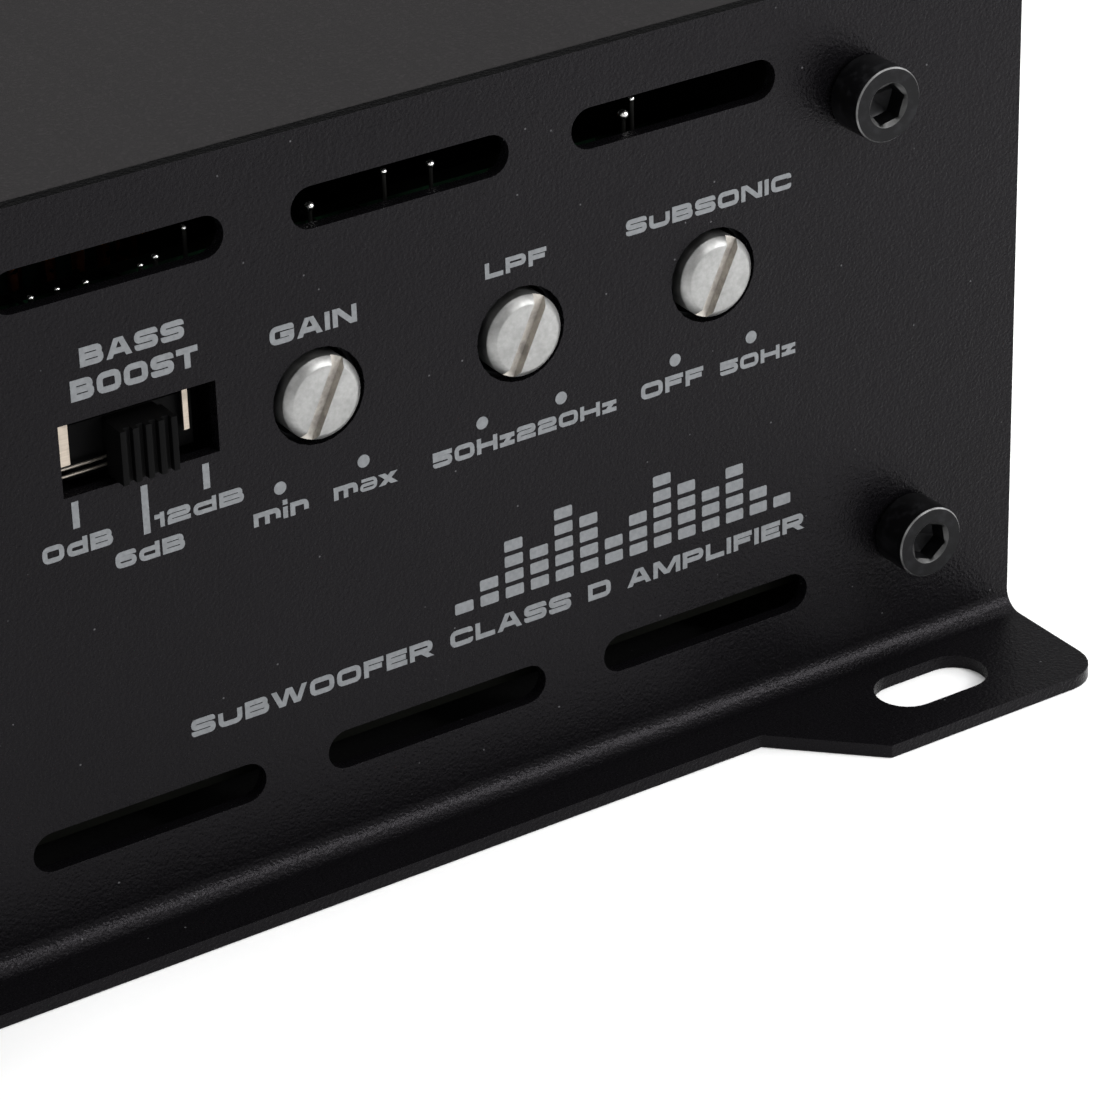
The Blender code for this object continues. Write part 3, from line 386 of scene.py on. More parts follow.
@dataclass(frozen=True)
class Moulded(Finish):
    """Moulded plastic with a fine spark-eroded grain and slightly cloudy colour."""

    matt: float = 0.45
    grain: float = 0.12 * MM
    depth: float = 0.006 * MM
    clear: float = 0.0
    shine: float = 0.4

    def mixed(self) -> Recipe:
        """Mix the plastic.

        Returns:
            Its recipe.
        """
        recipe = Recipe(self.name, self.matt, level=self.shine)
        recipe.put("Transmission Weight", self.clear)
        cloud = recipe.noise(4 * MM, 3)
        colour = recipe.between(cloud, dimmed(self.tone, 0.85), dimmed(self.tone, 1.15), 0.3, 0.7)
        recipe.feed("Base Color", colour)
        grain = recipe.noise(self.grain, 2)
        recipe.feed("Roughness", recipe.grey(grain, self.matt - 0.06, self.matt + 0.08))
        recipe.relief((grain, self.depth))
        return recipe


@dataclass(frozen=True)
class BoardMask(Finish):
    """Solder mask over copper: darker bare laminate, lighter flooded areas and thin tracks."""

    # Copper darkened with the mask: painted shade for the inside of the closed case.
    copper: Tone = (0.004, 0.018, 0.008)

    def mixed(self) -> Recipe:
        """Mix the solder mask.

        Returns:
            Its recipe.
        """
        recipe = Recipe(self.name, 0.35, level=0.15)
        flood = recipe.grey(recipe.cells(9 * MM, "Color"), 0.0, 1.0, 0.42, 0.46)
        track = recipe.nodes.new("ShaderNodeTexBrick")
        track.inputs["Scale"].default_value = 1.0 / (9 * MM)
        track.inputs["Mortar Size"].default_value = 0.05
        recipe.links.new(recipe.place, track.inputs["Vector"])
        ground = recipe.blend(flood, self.tone, self.copper)
        recipe.feed("Base Color", recipe.blend(track.outputs["Fac"], ground, dimmed(self.copper, 1.5)))
        recipe.relief((track.outputs["Fac"], 0.03 * MM), (recipe.noise(1.2 * MM, 2), 0.01 * MM))
        return recipe


@dataclass(frozen=True)
class Ink(Finish):
    """Screen-printed ink: flat, slightly uneven in cover, with the coat's grain showing through."""

    def mixed(self) -> Recipe:
        """Mix the ink.

        Returns:
            Its recipe.
        """
        recipe = Recipe(self.name, 0.6, level=0.3)
        cover = recipe.noise(0.3 * MM, 3)
        colour = recipe.between(cover, dimmed(self.tone, 0.86), dimmed(self.tone, 1.07), 0.3, 0.65)
        recipe.feed("Base Color", colour)
        recipe.relief((recipe.noise(0.42 * MM, 2.5), 0.02 * MM))
        return recipe


@dataclass(frozen=True)
class Paper(Finish):
    """Seamless studio paper: even and matt, with a barely visible fibre."""

    fibre: float = 1.5 * MM

    def mixed(self) -> Recipe:
        """Mix the paper.

        Returns:
            Its recipe.
        """
        recipe = Recipe(self.name, 0.9, level=0.1)
        fibres = recipe.noise(self.fibre, 1)
        recipe.feed("Base Color", recipe.between(fibres, dimmed(self.tone, 0.995), self.tone, 0.3, 0.7))
        return recipe


class Finishes:
    """Every finish of the amplifier, by the part that wears it."""

    PLATE = PowderCoat("powder_coat_black", (0.0026, 0.0024, 0.0029))
    # Near-black coat with almost no shine for the plates' top edges: painted shade for the dark band between
    # plate and extrusion.
    PLATE_TOP_SHADE = PowderCoat("powder_coat_painted_shade", (0.0008, 0.0008, 0.0009), shine=0.012)
    HEATSINK = Anodised("anodised_extrusion", (0.0094, 0.0084, 0.0087))
    COVER = PowderCoat("cover_coat_black", (0.010, 0.010, 0.010), peel=0.6 * MM, matt=0.55)
    OXIDE = BlackOxide("black_oxide_steel", (0.0045, 0.0045, 0.005))
    WORN = BareMetal("worn_screw_edge", (0.20, 0.20, 0.20), matt=0.36, stain=0.6)
    SHAFT = BareMetal("diecast_shaft", (0.305, 0.305, 0.30), matt=0.38, mark=0.35 * MM, stain=0.12)
    # Slot floor: painted light, a lighter copy of the shaft's metal so the floor down in the slot looks lit
    # instead of shaded.
    SHAFT_SLOT_LIT = BareMetal("shaft_slot_floor_painted_light", (0.50, 0.475, 0.44), matt=0.6, mark=0.3 * MM, stain=0.5)
    TINNED = BareMetal("tinned_steel", (0.46, 0.40, 0.335), matt=0.36, lay=Lay.ALONG_X, stain=0.25)
    SPRING = BareMetal("spring_wire", (0.26, 0.235, 0.205), matt=0.4, lay=Lay.ALONG_X, stain=0.4)
    ZINC = BareMetal("zinc_plate", (0.72, 0.74, 0.76), matt=0.28)
    # Leads darkened to near black and dull: painted shade, so their wire stays dark inside the vents.
    LEAD_SHADED = BareMetal("lead_painted_shade", (0.015, 0.015, 0.014), matt=0.6)
    SOLDER_DOT = BareMetal("bright_solder", (0.9, 0.9, 0.88), matt=0.14, stain=0.1)
    SOLDER = BareMetal("solder", (0.66, 0.67, 0.68), matt=0.22, depth=0.008 * MM)
    NICKEL = BareMetal("nickel_plate", (0.74, 0.71, 0.66), matt=0.16, lay=Lay.ALONG_X, stain=0.12)
    GOLD = BareMetal("gold_flash", (0.86, 0.60, 0.24), matt=0.20, stain=0.12)
    BRASS = BareMetal("plated_brass", (0.72, 0.66, 0.50), matt=0.24, lay=Lay.ALONG_Y, stain=0.3)
    ALUMINIUM = BareMetal("can_aluminium", (0.82, 0.82, 0.83), matt=0.25, stain=0.1)
    LEVER = Moulded("lever_black", (0.0018, 0.0018, 0.0019), matt=0.5, shine=0.045)
    HOUSING = Moulded("switch_housing_black", (0.002, 0.002, 0.002), matt=0.7, shine=0.04)
    SOCKET = Moulded("socket_black", (0.012, 0.012, 0.0125), matt=0.5)
    TERMINAL = Moulded("terminal_black", (0.014, 0.014, 0.0145), matt=0.38, grain=0.2 * MM)
    PACKAGE = Moulded("epoxy_package", (0.016, 0.016, 0.017), matt=0.55)
    SLEEVE = Moulded("shrink_sleeve", (0.012, 0.014, 0.03), matt=0.25, grain=0.8 * MM)
    SLEEVE_STRIPE = Moulded("sleeve_stripe", (0.45, 0.45, 0.42), matt=0.3)
    INSULATOR_RED = Moulded("insulator_red", (0.42, 0.012, 0.01), matt=0.3)
    INSULATOR_WHITE = Moulded("insulator_white", (0.72, 0.72, 0.70), matt=0.3)
    CORE = Moulded("core_coating", (0.03, 0.085, 0.06), matt=0.5, grain=0.5 * MM, depth=0.03 * MM)
    MAGNET_WIRE = BareMetal("enamelled_copper", (0.72, 0.27, 0.10), matt=0.24, mark=0.5 * MM, stain=0.3)
    # Dark green mask made far darker than a real board's: painted shade for the inside of the closed case.
    MASK_SHADED = BoardMask("solder_mask_green_painted_shade", (0.0025, 0.010, 0.0045))
    # Board edges near black: painted shade where the board shows behind the lower vents.
    LAMINATE_SHADED = Moulded("board_laminate_painted_shade", (0.002, 0.0022, 0.0014), matt=0.7, grain=0.3 * MM, shine=0.05)
    GREEN_LENS = Moulded("power_lens", (0.10, 0.62, 0.16), matt=0.14, clear=0.5, depth=0.001 * MM)
    RED_LENS = Moulded("protect_lens", (0.75, 0.03, 0.02), matt=0.14, clear=0.5, depth=0.001 * MM)
    FUSE = Moulded("fuse_body_clear_amber", (0.78, 0.30, 0.03), matt=0.18, clear=0.35, depth=0.002 * MM)
    WORN_MOUTH = BareMetal("socket_mouth_steel", (0.075, 0.075, 0.075), matt=0.4, stain=0.6)
    TRIMMER = Moulded("trimmer_case_black", (0.004, 0.004, 0.005), matt=0.55, shine=0.1)
    FLOOR = Paper("studio_paper", (0.92, 0.92, 0.92))
    INK = Ink("legend_ink", (0.155, 0.162, 0.170))


# ---------------------------------------------------------------- outlines


def arc(x: float, y: float, radius: float, start: float, end: float, steps: int) -> Outline:
    """Return points on an arc, its angles in degrees and both ends included."""
    turns = [math.radians(start + (end - start) * step / steps) for step in range(steps + 1)]
    return [(x + radius * math.cos(turn), y + radius * math.sin(turn)) for turn in turns]


def circle(x: float, y: float, diameter: float, sides: int = 48) -> Outline:
    """Return a circle's outline."""
    return arc(x, y, diameter / 2, 0, 360, sides)[:-1]


def rectangle(x: float, y: float, width: float, height: float, corner: float = 0.0) -> Outline:
    """Return a rectangle's outline.

    Args:
        x: its middle across.
        y: its middle in height.
        width: its width.
        height: its height.
        corner: radius of its corners.

    Returns:
        The outline, from the lower left corner on.
    """
    w, h = width / 2, height / 2
    if not corner:
        return [(x - w, y - h), (x + w, y - h), (x + w, y + h), (x - w, y + h)]
    spots = ((w, -h, -90), (w, h, 0), (-w, h, 90), (-w, -h, 180))
    outline: Outline = []
    for right, top, turn in spots:
        middle = (x + right - math.copysign(corner, right), y + top - math.copysign(corner, top))
        outline += arc(*middle, corner, turn, turn + 90, CORNER_STEPS)
    return outline


def hexagon_point(turn: float, across_flats: float) -> Point:
    """Return the point of a hexagon that lies in one direction from its middle.

    Args:
        turn: the direction, in radians.
        across_flats: the hexagon's width.

    Returns:
        The point.
    """
    within = (turn + math.pi / 6) % (math.pi / 3) - math.pi / 6
    reach = across_flats / 2 / math.cos(within)
    return reach * math.cos(turn), reach * math.sin(turn)


# ---------------------------------------------------------------- shaping


class Stock:
    """A piece being shaped: bodies are added to it, each with the index of its finish."""

    def __init__(self) -> None:
        """Start with nothing."""
        self.bm = bmesh.new()

    @classmethod
    def from_node(cls, node: str) -> "Stock":
        """Take a node's own shape, as whole flat faces that can be worked on.

        Args:
            node: the node's name.

        Returns:
            The stock.
        """
        stock = cls()
        stock.bm.from_mesh(bpy.data.objects[node].data)
        bmesh.ops.remove_doubles(stock.bm, verts=stock.bm.verts, dist=WELD)
        bmesh.ops.dissolve_limit(stock.bm, angle_limit=FLAT, verts=stock.bm.verts, edges=stock.bm.edges)
        for face in stock.bm.faces:
            face.material_index = 0
        return stock

    def prism(self, outline: Outline, axis: Axis, start: float, end: float, finish: int = 0) -> "Stock":
        """Add a straight extrusion of a closed outline.

        Args:
            outline: the outline's points.
            axis: the extrusion's direction.
            start: where it starts on that axis.
            end: where it ends.
            finish: index of its finish.

        Returns:
            This stock.
        """
        rings = [[self.bm.verts.new(axis.place(a, b, level)) for a, b in outline] for level in (start, end)]
        faces = [self.bm.faces.new(rings[0]), self.bm.faces.new(rings[1])]
        count = len(outline)
        for index in range(count):
            follow = (index + 1) % count
            side = (rings[0][index], rings[0][follow], rings[1][follow], rings[1][index])
            faces.append(self.bm.faces.new(side))
        return self.closed(faces, finish)

    def closed(self, faces: Iterable[bmesh.types.BMFace], finish: int) -> "Stock":
        """Point the faces of one closed body outward and give them their finish.

        Args:
            faces: all the faces of the body.
            finish: index of their finish.

        Returns:
            This stock.
        """
        faces = list(faces)
        bmesh.ops.recalc_face_normals(self.bm, faces=faces)
        for face in faces:
            face.material_index = finish
        return self

    def turned(
        self,
        profile: Outline,
        centre: Point,
        axis: Axis,
        steps: int = 48,
        finish: int = 0,
        ring: bool = False,
    ) -> "Stock":
        """Add a turned body.

        Args:
            profile: (radius, place along the axis) points, from axis to axis, or all round for a ring.
            centre: the axis's two other coordinates.
            axis: the turning axis.
            steps: flats round the body.
            finish: index of its finish.
            ring: True where the profile is closed and stays clear of the axis.

        Returns:
            This stock.
        """
        rows = []
        for radius, along in profile:
            if radius < 1e-9:
                rows.append([self.bm.verts.new(axis.place(*centre, along))])
                continue
            spots = arc(*centre, radius, 0, 360, steps)[:-1]
            rows.append([self.bm.verts.new(axis.place(a, b, along)) for a, b in spots])
        pairs = list(zip(rows, rows[1:])) + ([(rows[-1], rows[0])] if ring else [])
        faces = []
        for lower, upper in pairs:
            for step in range(steps):
                follow = (step + 1) % steps
                corners = [lower[step % len(lower)], lower[follow % len(lower)]]
                corners += [upper[follow % len(upper)], upper[step % len(upper)]]
                distinct = list(dict.fromkeys(corners))
                if len(distinct) > 2:
                    faces.append(self.bm.faces.new(distinct))
        return self.closed(faces, finish)

    def wire(
        self, points: Sequence[Vector], radius: float, sides: int = 8, finish: int = 0, loop: bool = False
    ) -> "Stock":
        """Add round wire along a path.

        Args:
            points: the path.
            radius: the wire's radius.
            sides: flats round the wire.
            finish: index of its finish.
            loop: True where the path closes on itself.

        Returns:
            This stock.
        """
        count = len(points)
        rings, side = [], None
        for index, point in enumerate(points):
            before = points[index - 1] if index or loop else point
            after = points[(index + 1) % count] if index + 1 < count or loop else point
            ahead = (after - before).normalized()
            if side is None:
                side = ahead.orthogonal().normalized()
            side = (side - ahead * side.dot(ahead)).normalized()
            across = ahead.cross(side)
            turns = [2 * math.pi * step / sides for step in range(sides)]
            spots = [point + radius * (side * math.cos(turn) + across * math.sin(turn)) for turn in turns]
            rings.append([self.bm.verts.new(spot) for spot in spots])
        faces = []
        for index in range(count if loop else count - 1):
            lower, upper = rings[index], rings[(index + 1) % count]
            for step in range(sides):
                follow = (step + 1) % sides
                faces.append(self.bm.faces.new((lower[step], lower[follow], upper[follow], upper[step])))
        if not loop:
            faces += [self.bm.faces.new(rings[0]), self.bm.faces.new(rings[-1])]
        return self.closed(faces, finish)

    def paint(self, choose: Callable[[bmesh.types.BMFace], Optional[int]]) -> "Stock":
        """Paint the shape face by face.

        Args:
            choose: returns the index of a face's finish, or None to leave the face as it is.

        Returns:
            This stock.
        """
        self.bm.normal_update()
        for face in self.bm.faces:
            index = choose(face)
            if index is not None:
                face.material_index = index
        return self

    def moved(self, matrix: Matrix) -> "Stock":
        """Move everything shaped so far."""
        bmesh.ops.transform(self.bm, matrix=matrix, verts=self.bm.verts)
        return self

    def mesh(self, name: str) -> bpy.types.Mesh:
        """Return the shape as a mesh, and clear the bench.

        Args:
            name: the mesh's name.

        Returns:
            The mesh.
        """
        mesh = bpy.data.meshes.new(name)
        self.bm.to_mesh(mesh)
        self.bm.free()
        return mesh

    def piece(
        self,
        name: str,
        finishes: Sequence[Finish],
        body: str,
        slot: str = "",
        replaces: Sequence[str] = (),
        edge: float = 0.0,
        edge_finish: int = -1,
        steps: int = 2,
        cutters: Sequence["Stock"] = (),
    ) -> bpy.types.Object:
        """slot: the record's material slot; not used.
            replaces: the frame's nodes that it stands for.
            edge: radius broken on its sharp edges, in metres.
            edge_finish: index of the finish on those edges, or -1 for the faces' own.
            steps: facets across each broken edge.
            cutters: stocks that are cut out of it first.

        Returns:
            The piece.
        """
        piece = bpy.data.objects.new(name, self.mesh(name))
        bpy.context.scene.collection.objects.link(piece)
        for finish in finishes:
            piece.data.materials.append(finish.material())
        for cutter in cutters:
            carve(piece, cutter)
        if edge:
            bevel = piece.modifiers.new("edges", "BEVEL")
            bevel.width = edge
            bevel.segments = steps
            bevel.limit_method = "ANGLE"
            bevel.angle_limit = SHARP
            bevel.material = edge_finish
            settle(piece)
        piece.data.shade_smooth()
        piece.data.set_sharp_from_angle(angle=ROUND)
        even = piece.modifiers.new("even_shading", "WEIGHTED_NORMAL")
        even.keep_sharp = True
        settle(piece)
        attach(piece, body)
        if replaces:
            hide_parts(*replaces)
        LOG.info("%s: %d faces, rides on %s", name, len(piece.data.polygons), body)
        return piece


def settle(piece: bpy.types.Object) -> None:
    """Make a piece's modifiers part of its mesh.

    Args:
        piece: the piece.
    """
    bpy.context.view_layer.update()
    shaped = bpy.data.meshes.new_from_object(piece.evaluated_get(bpy.context.evaluated_depsgraph_get()))
    before = piece.data
    piece.modifiers.clear()
    piece.data = shaped
    name = before.name
    bpy.data.meshes.remove(before)
    shaped.name = name


def carve(piece: bpy.types.Object, cutter: Stock) -> None:
    """Cut a shape out of a piece.

    Args:
        piece: the piece.
        cutter: the shape, with its faces numbered by the piece's finishes.
    """
    tool = bpy.data.objects.new("cutter", cutter.mesh("cutter"))
    bpy.context.scene.collection.objects.link(tool)
    for material in piece.data.materials:
        tool.data.materials.append(material)
    cut = piece.modifiers.new("cut", "BOOLEAN")
    cut.operation = "DIFFERENCE"
    cut.solver = "EXACT"
    cut.object = tool
    settle(piece)
    bpy.data.objects.remove(tool)


def refined(
    node: str, name: str, finish: Finish, slot: str, edge: float, body: str = Body.AMPLIFIER
) -> bpy.types.Object:
    """Refine a node that keeps its shape: break its sharp edges and dress it.

    Args:
        node: the node that the piece stands for.
        name: the piece's name.
        finish: its finish.
        slot: the record's material slot, passed on to Stock.piece.
        edge: radius broken on its sharp edges, in metres.
        body: the body that it rides on.

    Returns:
        The piece.
    """
    return Stock.from_node(node).piece(name, [finish], body, slot, [node], edge=edge)


def middle(node: str) -> Vector:
    """Return the middle of a node's box."""
    low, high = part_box(node)
    return (low + high) / 2


# ---------------------------------------------------------------- lettering


@dataclass(frozen=True)
class Letter:
    """One letter of an extended square alphabet, on a field one unit wide and one unit high.

    Bends are strokes with rounded corners, bars are straight strokes, and slants are strokes cut level at
    both ends. width is the letter's width in letter heights.
    """

    width: float
    bends: tuple[tuple[Point, ...], ...] = ()
    bars: tuple[tuple[float, float, float, float], ...] = ()
    slants: tuple[tuple[float, float, float, float], ...] = ()
    weight: float = 1.0  # of its strokes, where they would otherwise run together


LOOP = ((0.5, 0), (1, 0), (1, 1), (0, 1), (0, 0), (0.5, 0))
LOW = 0.72  # height of a small letter
STEM = (0, 0, 0, 1)

ALPHABET: dict[str, Letter] = {
    "A": Letter(1.5, bars=((0.2, 0.26, 0.8, 0.26),), slants=((0.0, 0, 0.42, 1), (1.0, 0, 0.58, 1))),
    "B": Letter(
        1.4,
        (((0, 1), (0.94, 1), (0.94, 0.5), (0, 0.5)), ((0, 0.5), (1, 0.5), (1, 0), (0, 0))),
        (STEM,),
    ),
    "C": Letter(1.4, (((1, 0.74), (1, 1), (0, 1), (0, 0), (1, 0), (1, 0.26)),)),
    "D": Letter(1.45, (((0, 1), (1, 1), (1, 0), (0, 0)),), (STEM,)),
    "E": Letter(1.25, bars=(STEM, (0, 1, 1, 1), (0, 0.5, 0.92, 0.5), (0, 0, 1, 0))),
    "F": Letter(1.2, bars=(STEM, (0, 1, 1, 1), (0, 0.5, 0.88, 0.5))),
    "G": Letter(1.45, (((1, 0.76), (1, 1), (0, 1), (0, 0), (1, 0), (1, 0.48)),), ((0.55, 0.48, 1, 0.48),)),
    "H": Letter(1.4, bars=(STEM, (1, 0, 1, 1), (0, 0.5, 1, 0.5))),
    "I": Letter(0.3, bars=((0.5, 0, 0.5, 1),)),
    "K": Letter(1.4, bars=(STEM, (0, 0.5, 0.3, 0.5)), slants=((0.28, 0.5, 0.95, 1), (0.28, 0.5, 1, 0))),
    "L": Letter(1.2, bars=(STEM, (0, 0, 1, 0))),
    "M": Letter(1.75, bars=(STEM, (1, 0, 1, 1)), slants=((0.5, 0.1, 0.06, 1), (0.5, 0.1, 0.94, 1))),
    "N": Letter(1.45, bars=(STEM, (1, 0, 1, 1)), slants=((0.96, 0, 0.04, 1),)),
    "O": Letter(1.45, (LOOP,)),
    "P": Letter(1.35, (((0, 1), (1, 1), (1, 0.4), (0, 0.4)),), (STEM,)),
    "R": Letter(1.4, (((0, 1), (1, 1), (1, 0.42), (0, 0.42)),), (STEM,), ((1, 0, 0.55, 0.42),)),
    "S": Letter(1.4, (((1, 0.78), (1, 1), (0, 1), (0, 0.5), (1, 0.5), (1, 0), (0, 0), (0, 0.22)),)),
    "T": Letter(1.3, bars=((0, 1, 1, 1), (0.5, 0, 0.5, 1))),
    "U": Letter(1.4, (((0, 1), (0, 0), (1, 0), (1, 1)),)),
    "V": Letter(1.5, slants=((0.44, 0, 0, 1), (0.56, 0, 1, 1))),
    "W": Letter(2.1, slants=((0.24, 0, 0, 1), (0.28, 0, 0.48, 1), (0.72, 0, 0.52, 1), (0.76, 0, 1, 1))),
    "Y": Letter(1.4, bars=((0.5, 0, 0.5, 0.45),), slants=((0.46, 0.4, 0, 1), (0.54, 0.4, 1, 1))),
    "a": Letter(1.25, (((0, LOW), (1, LOW), (1, 0), (0, 0), (0, 0.36), (1, 0.36)),), weight=0.66),
    "d": Letter(1.3, (((1, LOW), (0, LOW), (0, 0), (1, 0)),), ((1, 0, 1, 1),)),
    "i": Letter(0.3, bars=((0.5, 0, 0.5, 0.56), (0.5, 1.16, 0.5, 1.16))),
    "m": Letter(1.75, (((0, LOW), (1, LOW), (1, 0)),), ((0, 0, 0, LOW), (0.5, 0, 0.5, LOW))),
    "n": Letter(1.2, (((0, LOW), (1, LOW), (1, 0)),), ((0, 0, 0, LOW),)),
    "x": Letter(1.25, slants=((0, 0, 1, LOW), (1, 0, 0, LOW))),
    "z": Letter(1.0, bars=((0, LOW, 1, LOW), (0, 0, 1, 0)), slants=((0.1, 0, 0.9, LOW),)),
    "0": Letter(1.35, (LOOP,)),
    "1": Letter(0.55, bars=((1, 0, 1, 1), (0, 0.86, 1, 0.86))),
    "2": Letter(1.3, (((0, 0.76), (0, 1), (1, 1), (1, 0.5), (0, 0.5), (0, 0)),), ((0, 0, 1, 0),)),
    "5": Letter(1.3, (((0, 0.56), (1, 0.56), (1, 0), (0, 0), (0, 0.2)),), ((0, 1, 1, 1), (0, 0.56, 0, 1))),
    "6": Letter(1.3, (((1, 0.8), (1, 1), (0, 1), (0, 0), (1, 0), (1, 0.56), (0, 0.56)),)),
    "+": Letter(1.0, bars=((0, 0.5, 1, 0.5), (0.5, 0.08, 0.5, 0.92))),
    "-": Letter(0.9, bars=((0, 0.5, 1, 0.5),)),
    " ": Letter(0.75),
}


@dataclass(frozen=True)
class Lettering:
    """Sets words in the extended alphabet, as flat polygons in millimetres on the printed face."""

    stroke: float = 0.295  # in letter heights
    space: float = 0.17
    corner: float = 0.26

    def word(self, text: str, left: float, bottom: float, right: float, top: float) -> list[Outline]:
        """Set a word so that it fills a box.

        Args:
            text: the word.
            left: the box's left side, in millimetres.
            bottom: its lower side.
            right: its right side.
            top: its upper side.

        Returns:
            The polygons of its strokes.
        """
        height = top - bottom
        natural = sum(ALPHABET[sign].width for sign in text) + self.space * (len(text) - 1)
        stretch = (right - left) / (natural * height)
        shapes: list[Outline] = []
        start = left
        for sign in text:
            letter = ALPHABET[sign]
            shapes += self.strokes(letter, start, bottom, letter.width * height * stretch, height)
            start += (letter.width + self.space) * height * stretch
        return shapes

    def strokes(
        self, letter: Letter, left: float, bottom: float, width: float, height: float
    ) -> list[Outline]:
        """Set one letter.

        Args:
            letter: the letter.
            left: the left side of its field.
            bottom: the field's lower side.
            width: the field's width.
            height: the field's height.

        Returns:
            The polygons of its strokes.
        """
        thick = self.stroke * letter.weight * height
        half = thick / 2

        def spot(x: float, y: float) -> Vector:
            """Return the field point of a stroke's centre line."""
            inner = max(width - thick, 0.0)
            return Vector((left + min(half, width / 2) + x * inner, bottom + half + y * (height - thick)))

        shapes: list[Outline] = []
        for bend in letter.bends:
            path = softened([spot(x, y) for x, y in bend], self.corner * height)
            shapes += ribbon(path, half)
        for x0, y0, x1, y1 in letter.bars:
            first, last = spot(x0, y0), spot(x1, y1)
            grow = (last - first).normalized() * half if (last - first).length else Vector((0, half))
            shapes += ribbon([first - grow, last + grow], half)
        for x0, y0, x1, y1 in letter.slants:
            low, high = spot(x0, y0), spot(x1, y1)
            low.y = bottom + y0 * height
            high.y = bottom + y1 * height
            run = abs(high.x - low.x) / max(abs(high.y - low.y), 1e-6)
            reach = half * min(math.hypot(1, run), 1.5)
            corners = [(low.x - reach, low.y), (low.x + reach, low.y)]
            shapes.append(corners + [(high.x + reach, high.y), (high.x - reach, high.y)])
        return shapes


def softened(path: Sequence[Vector], radius: float) -> list[Vector]:
    """Round the inner corners of a path.

    Args:
        path: the path's points.
        radius: how far from a corner its bend starts, where both legs are long enough.

    Returns:
        The path with a bend in place of each inner corner.
    """
    bent = [path[0]]
    for before, corner, after in zip(path, path[1:], path[2:]):
        inward, outward = before - corner, after - corner
        reach = min(radius, inward.length / 2, outward.length / 2)
        start = corner + inward.normalized() * reach
        end = corner + outward.normalized() * reach
        for step in range(BEND_STEPS + 1):
            share = step / BEND_STEPS
            bent.append(start * (1 - share) ** 2 + corner * 2 * share * (1 - share) + end * share**2)
    return bent + [path[-1]]


def ribbon(path: Sequence[Vector], half: float) -> list[Outline]:
    """Return a stroke of even width along a path.

    Args:
        path: the stroke's centre line.
        half: half of its width.

    Returns:
        One four-sided polygon for each leg of the path.
    """
    path = [path[0]] + [point for last, point in zip(path, path[1:]) if (point - last).length > 1e-6]
    sides = []
    for index, point in enumerate(path):
        before = path[max(index - 1, 0)]
        after = path[min(index + 1, len(path) - 1)]
        ahead = (after - before).normalized()
        across = Vector((-ahead.y, ahead.x))
        if 0 < index < len(path) - 1:
            leg = (point - before).normalized()
            share = max(across.dot(Vector((-leg.y, leg.x))), 0.5)
            across = across / share
        sides.append((point - across * half, point + across * half))
    return [[tuple(a), tuple(c), tuple(d), tuple(b)] for (a, b), (c, d) in zip(sides, sides[1:])]


@dataclass(frozen=True)
class Field:
    """One polygon of ink, with its box for a quick test."""

    shape: Outline
    left: float
    bottom: float
    right: float
    top: float

    @classmethod
    def around(cls, shape: Outline) -> "Field":
        """Return the field of a polygon."""
        across, up = zip(*shape)
        return cls(shape, min(across), min(up), max(across), max(up))

    def holds(self, x: float, y: float) -> bool:
        """Return whether a point lies in the polygon.

        Args:
            x: the point's place across.
            y: its height.

        Returns:
            True inside.
        """
        if not (self.left <= x <= self.right and self.bottom <= y <= self.top):
            return False
        inside = False
        for (x0, y0), (x1, y1) in zip(self.shape, self.shape[1:] + self.shape[:1]):
            if (y0 > y) != (y1 > y) and x < x0 + (y - y0) * (x1 - x0) / (y1 - y0):
                inside = not inside
        return inside


@dataclass(frozen=True)
class PrintedFace:
    """A flat face of an end plate that is screen-printed.

    face is its place along Y, and outward is the sign of the direction it faces.
    """

    face: float
    outward: int
    thickness: float = 0.03 * MM

    def print(self, name: str, shapes: Sequence[Outline], ink: Finish = Finishes.INK) -> bpy.types.Object:
        """Print polygons, given in millimetres from the reader's view, as one thin piece of ink.

        Args:
            name: the piece's name.
            shapes: the polygons, which may overlap.
            ink: the ink's finish.

        Returns:
            The printed piece.
        """
        points, edges = [], []
        for shape in shapes:
            start = len(points)
            points += [Vector(point) for point in shape]
            edges += [(start + index, start + (index + 1) % len(shape)) for index in range(len(shape))]
        spots, _, patches, *_ = delaunay_2d_cdt(points, edges, [], 0, 1e-5)
        fields = [Field.around(shape) for shape in shapes]
        inked = []
        for patch in patches:
            x, y = sum((spots[index] for index in patch), Vector((0, 0))) / 3
            if any(field.holds(x, y) for field in fields):
                inked.append(tuple(patch))
        return self.layer(spots, inked).piece(name, [ink], Body.AMPLIFIER)

    def layer(self, spots: Sequence[Vector], triangles: Sequence[tuple[int, int, int]]) -> Stock:
        """Raise triangles off the face into a layer as thick as the ink.

        Args:
            spots: the points, in millimetres from the reader's view.
            triangles: the indices of each triangle's corners, all in the same sense.

        Returns:
            The layer, closed all round.
        """
        stock = Stock()
        used = sorted({index for triangle in triangles for index in triangle})
        sheets = []
        for level in (self.face, self.face + self.outward * self.thickness):
            places = ((-self.outward * spots[index].x * MM, level, spots[index].y * MM) for index in used)
            sheets.append(dict(zip(used, [stock.bm.verts.new(place) for place in places])))
        lower, upper = sheets
        corners = [[sheet[index] for index in triangle] for sheet in sheets for triangle in triangles]
        faces = [stock.bm.faces.new(ring) for ring in corners]
        sides = [side for a, b, c in triangles for side in ((a, b), (b, c), (c, a))]
        shared = set(sides)
        for a, b in sides:
            if (b, a) not in shared:
                faces.append(stock.bm.faces.new((lower[a], lower[b], upper[b], upper[a])))
        return stock.closed(faces, 0)


# ---------------------------------------------------------------- case


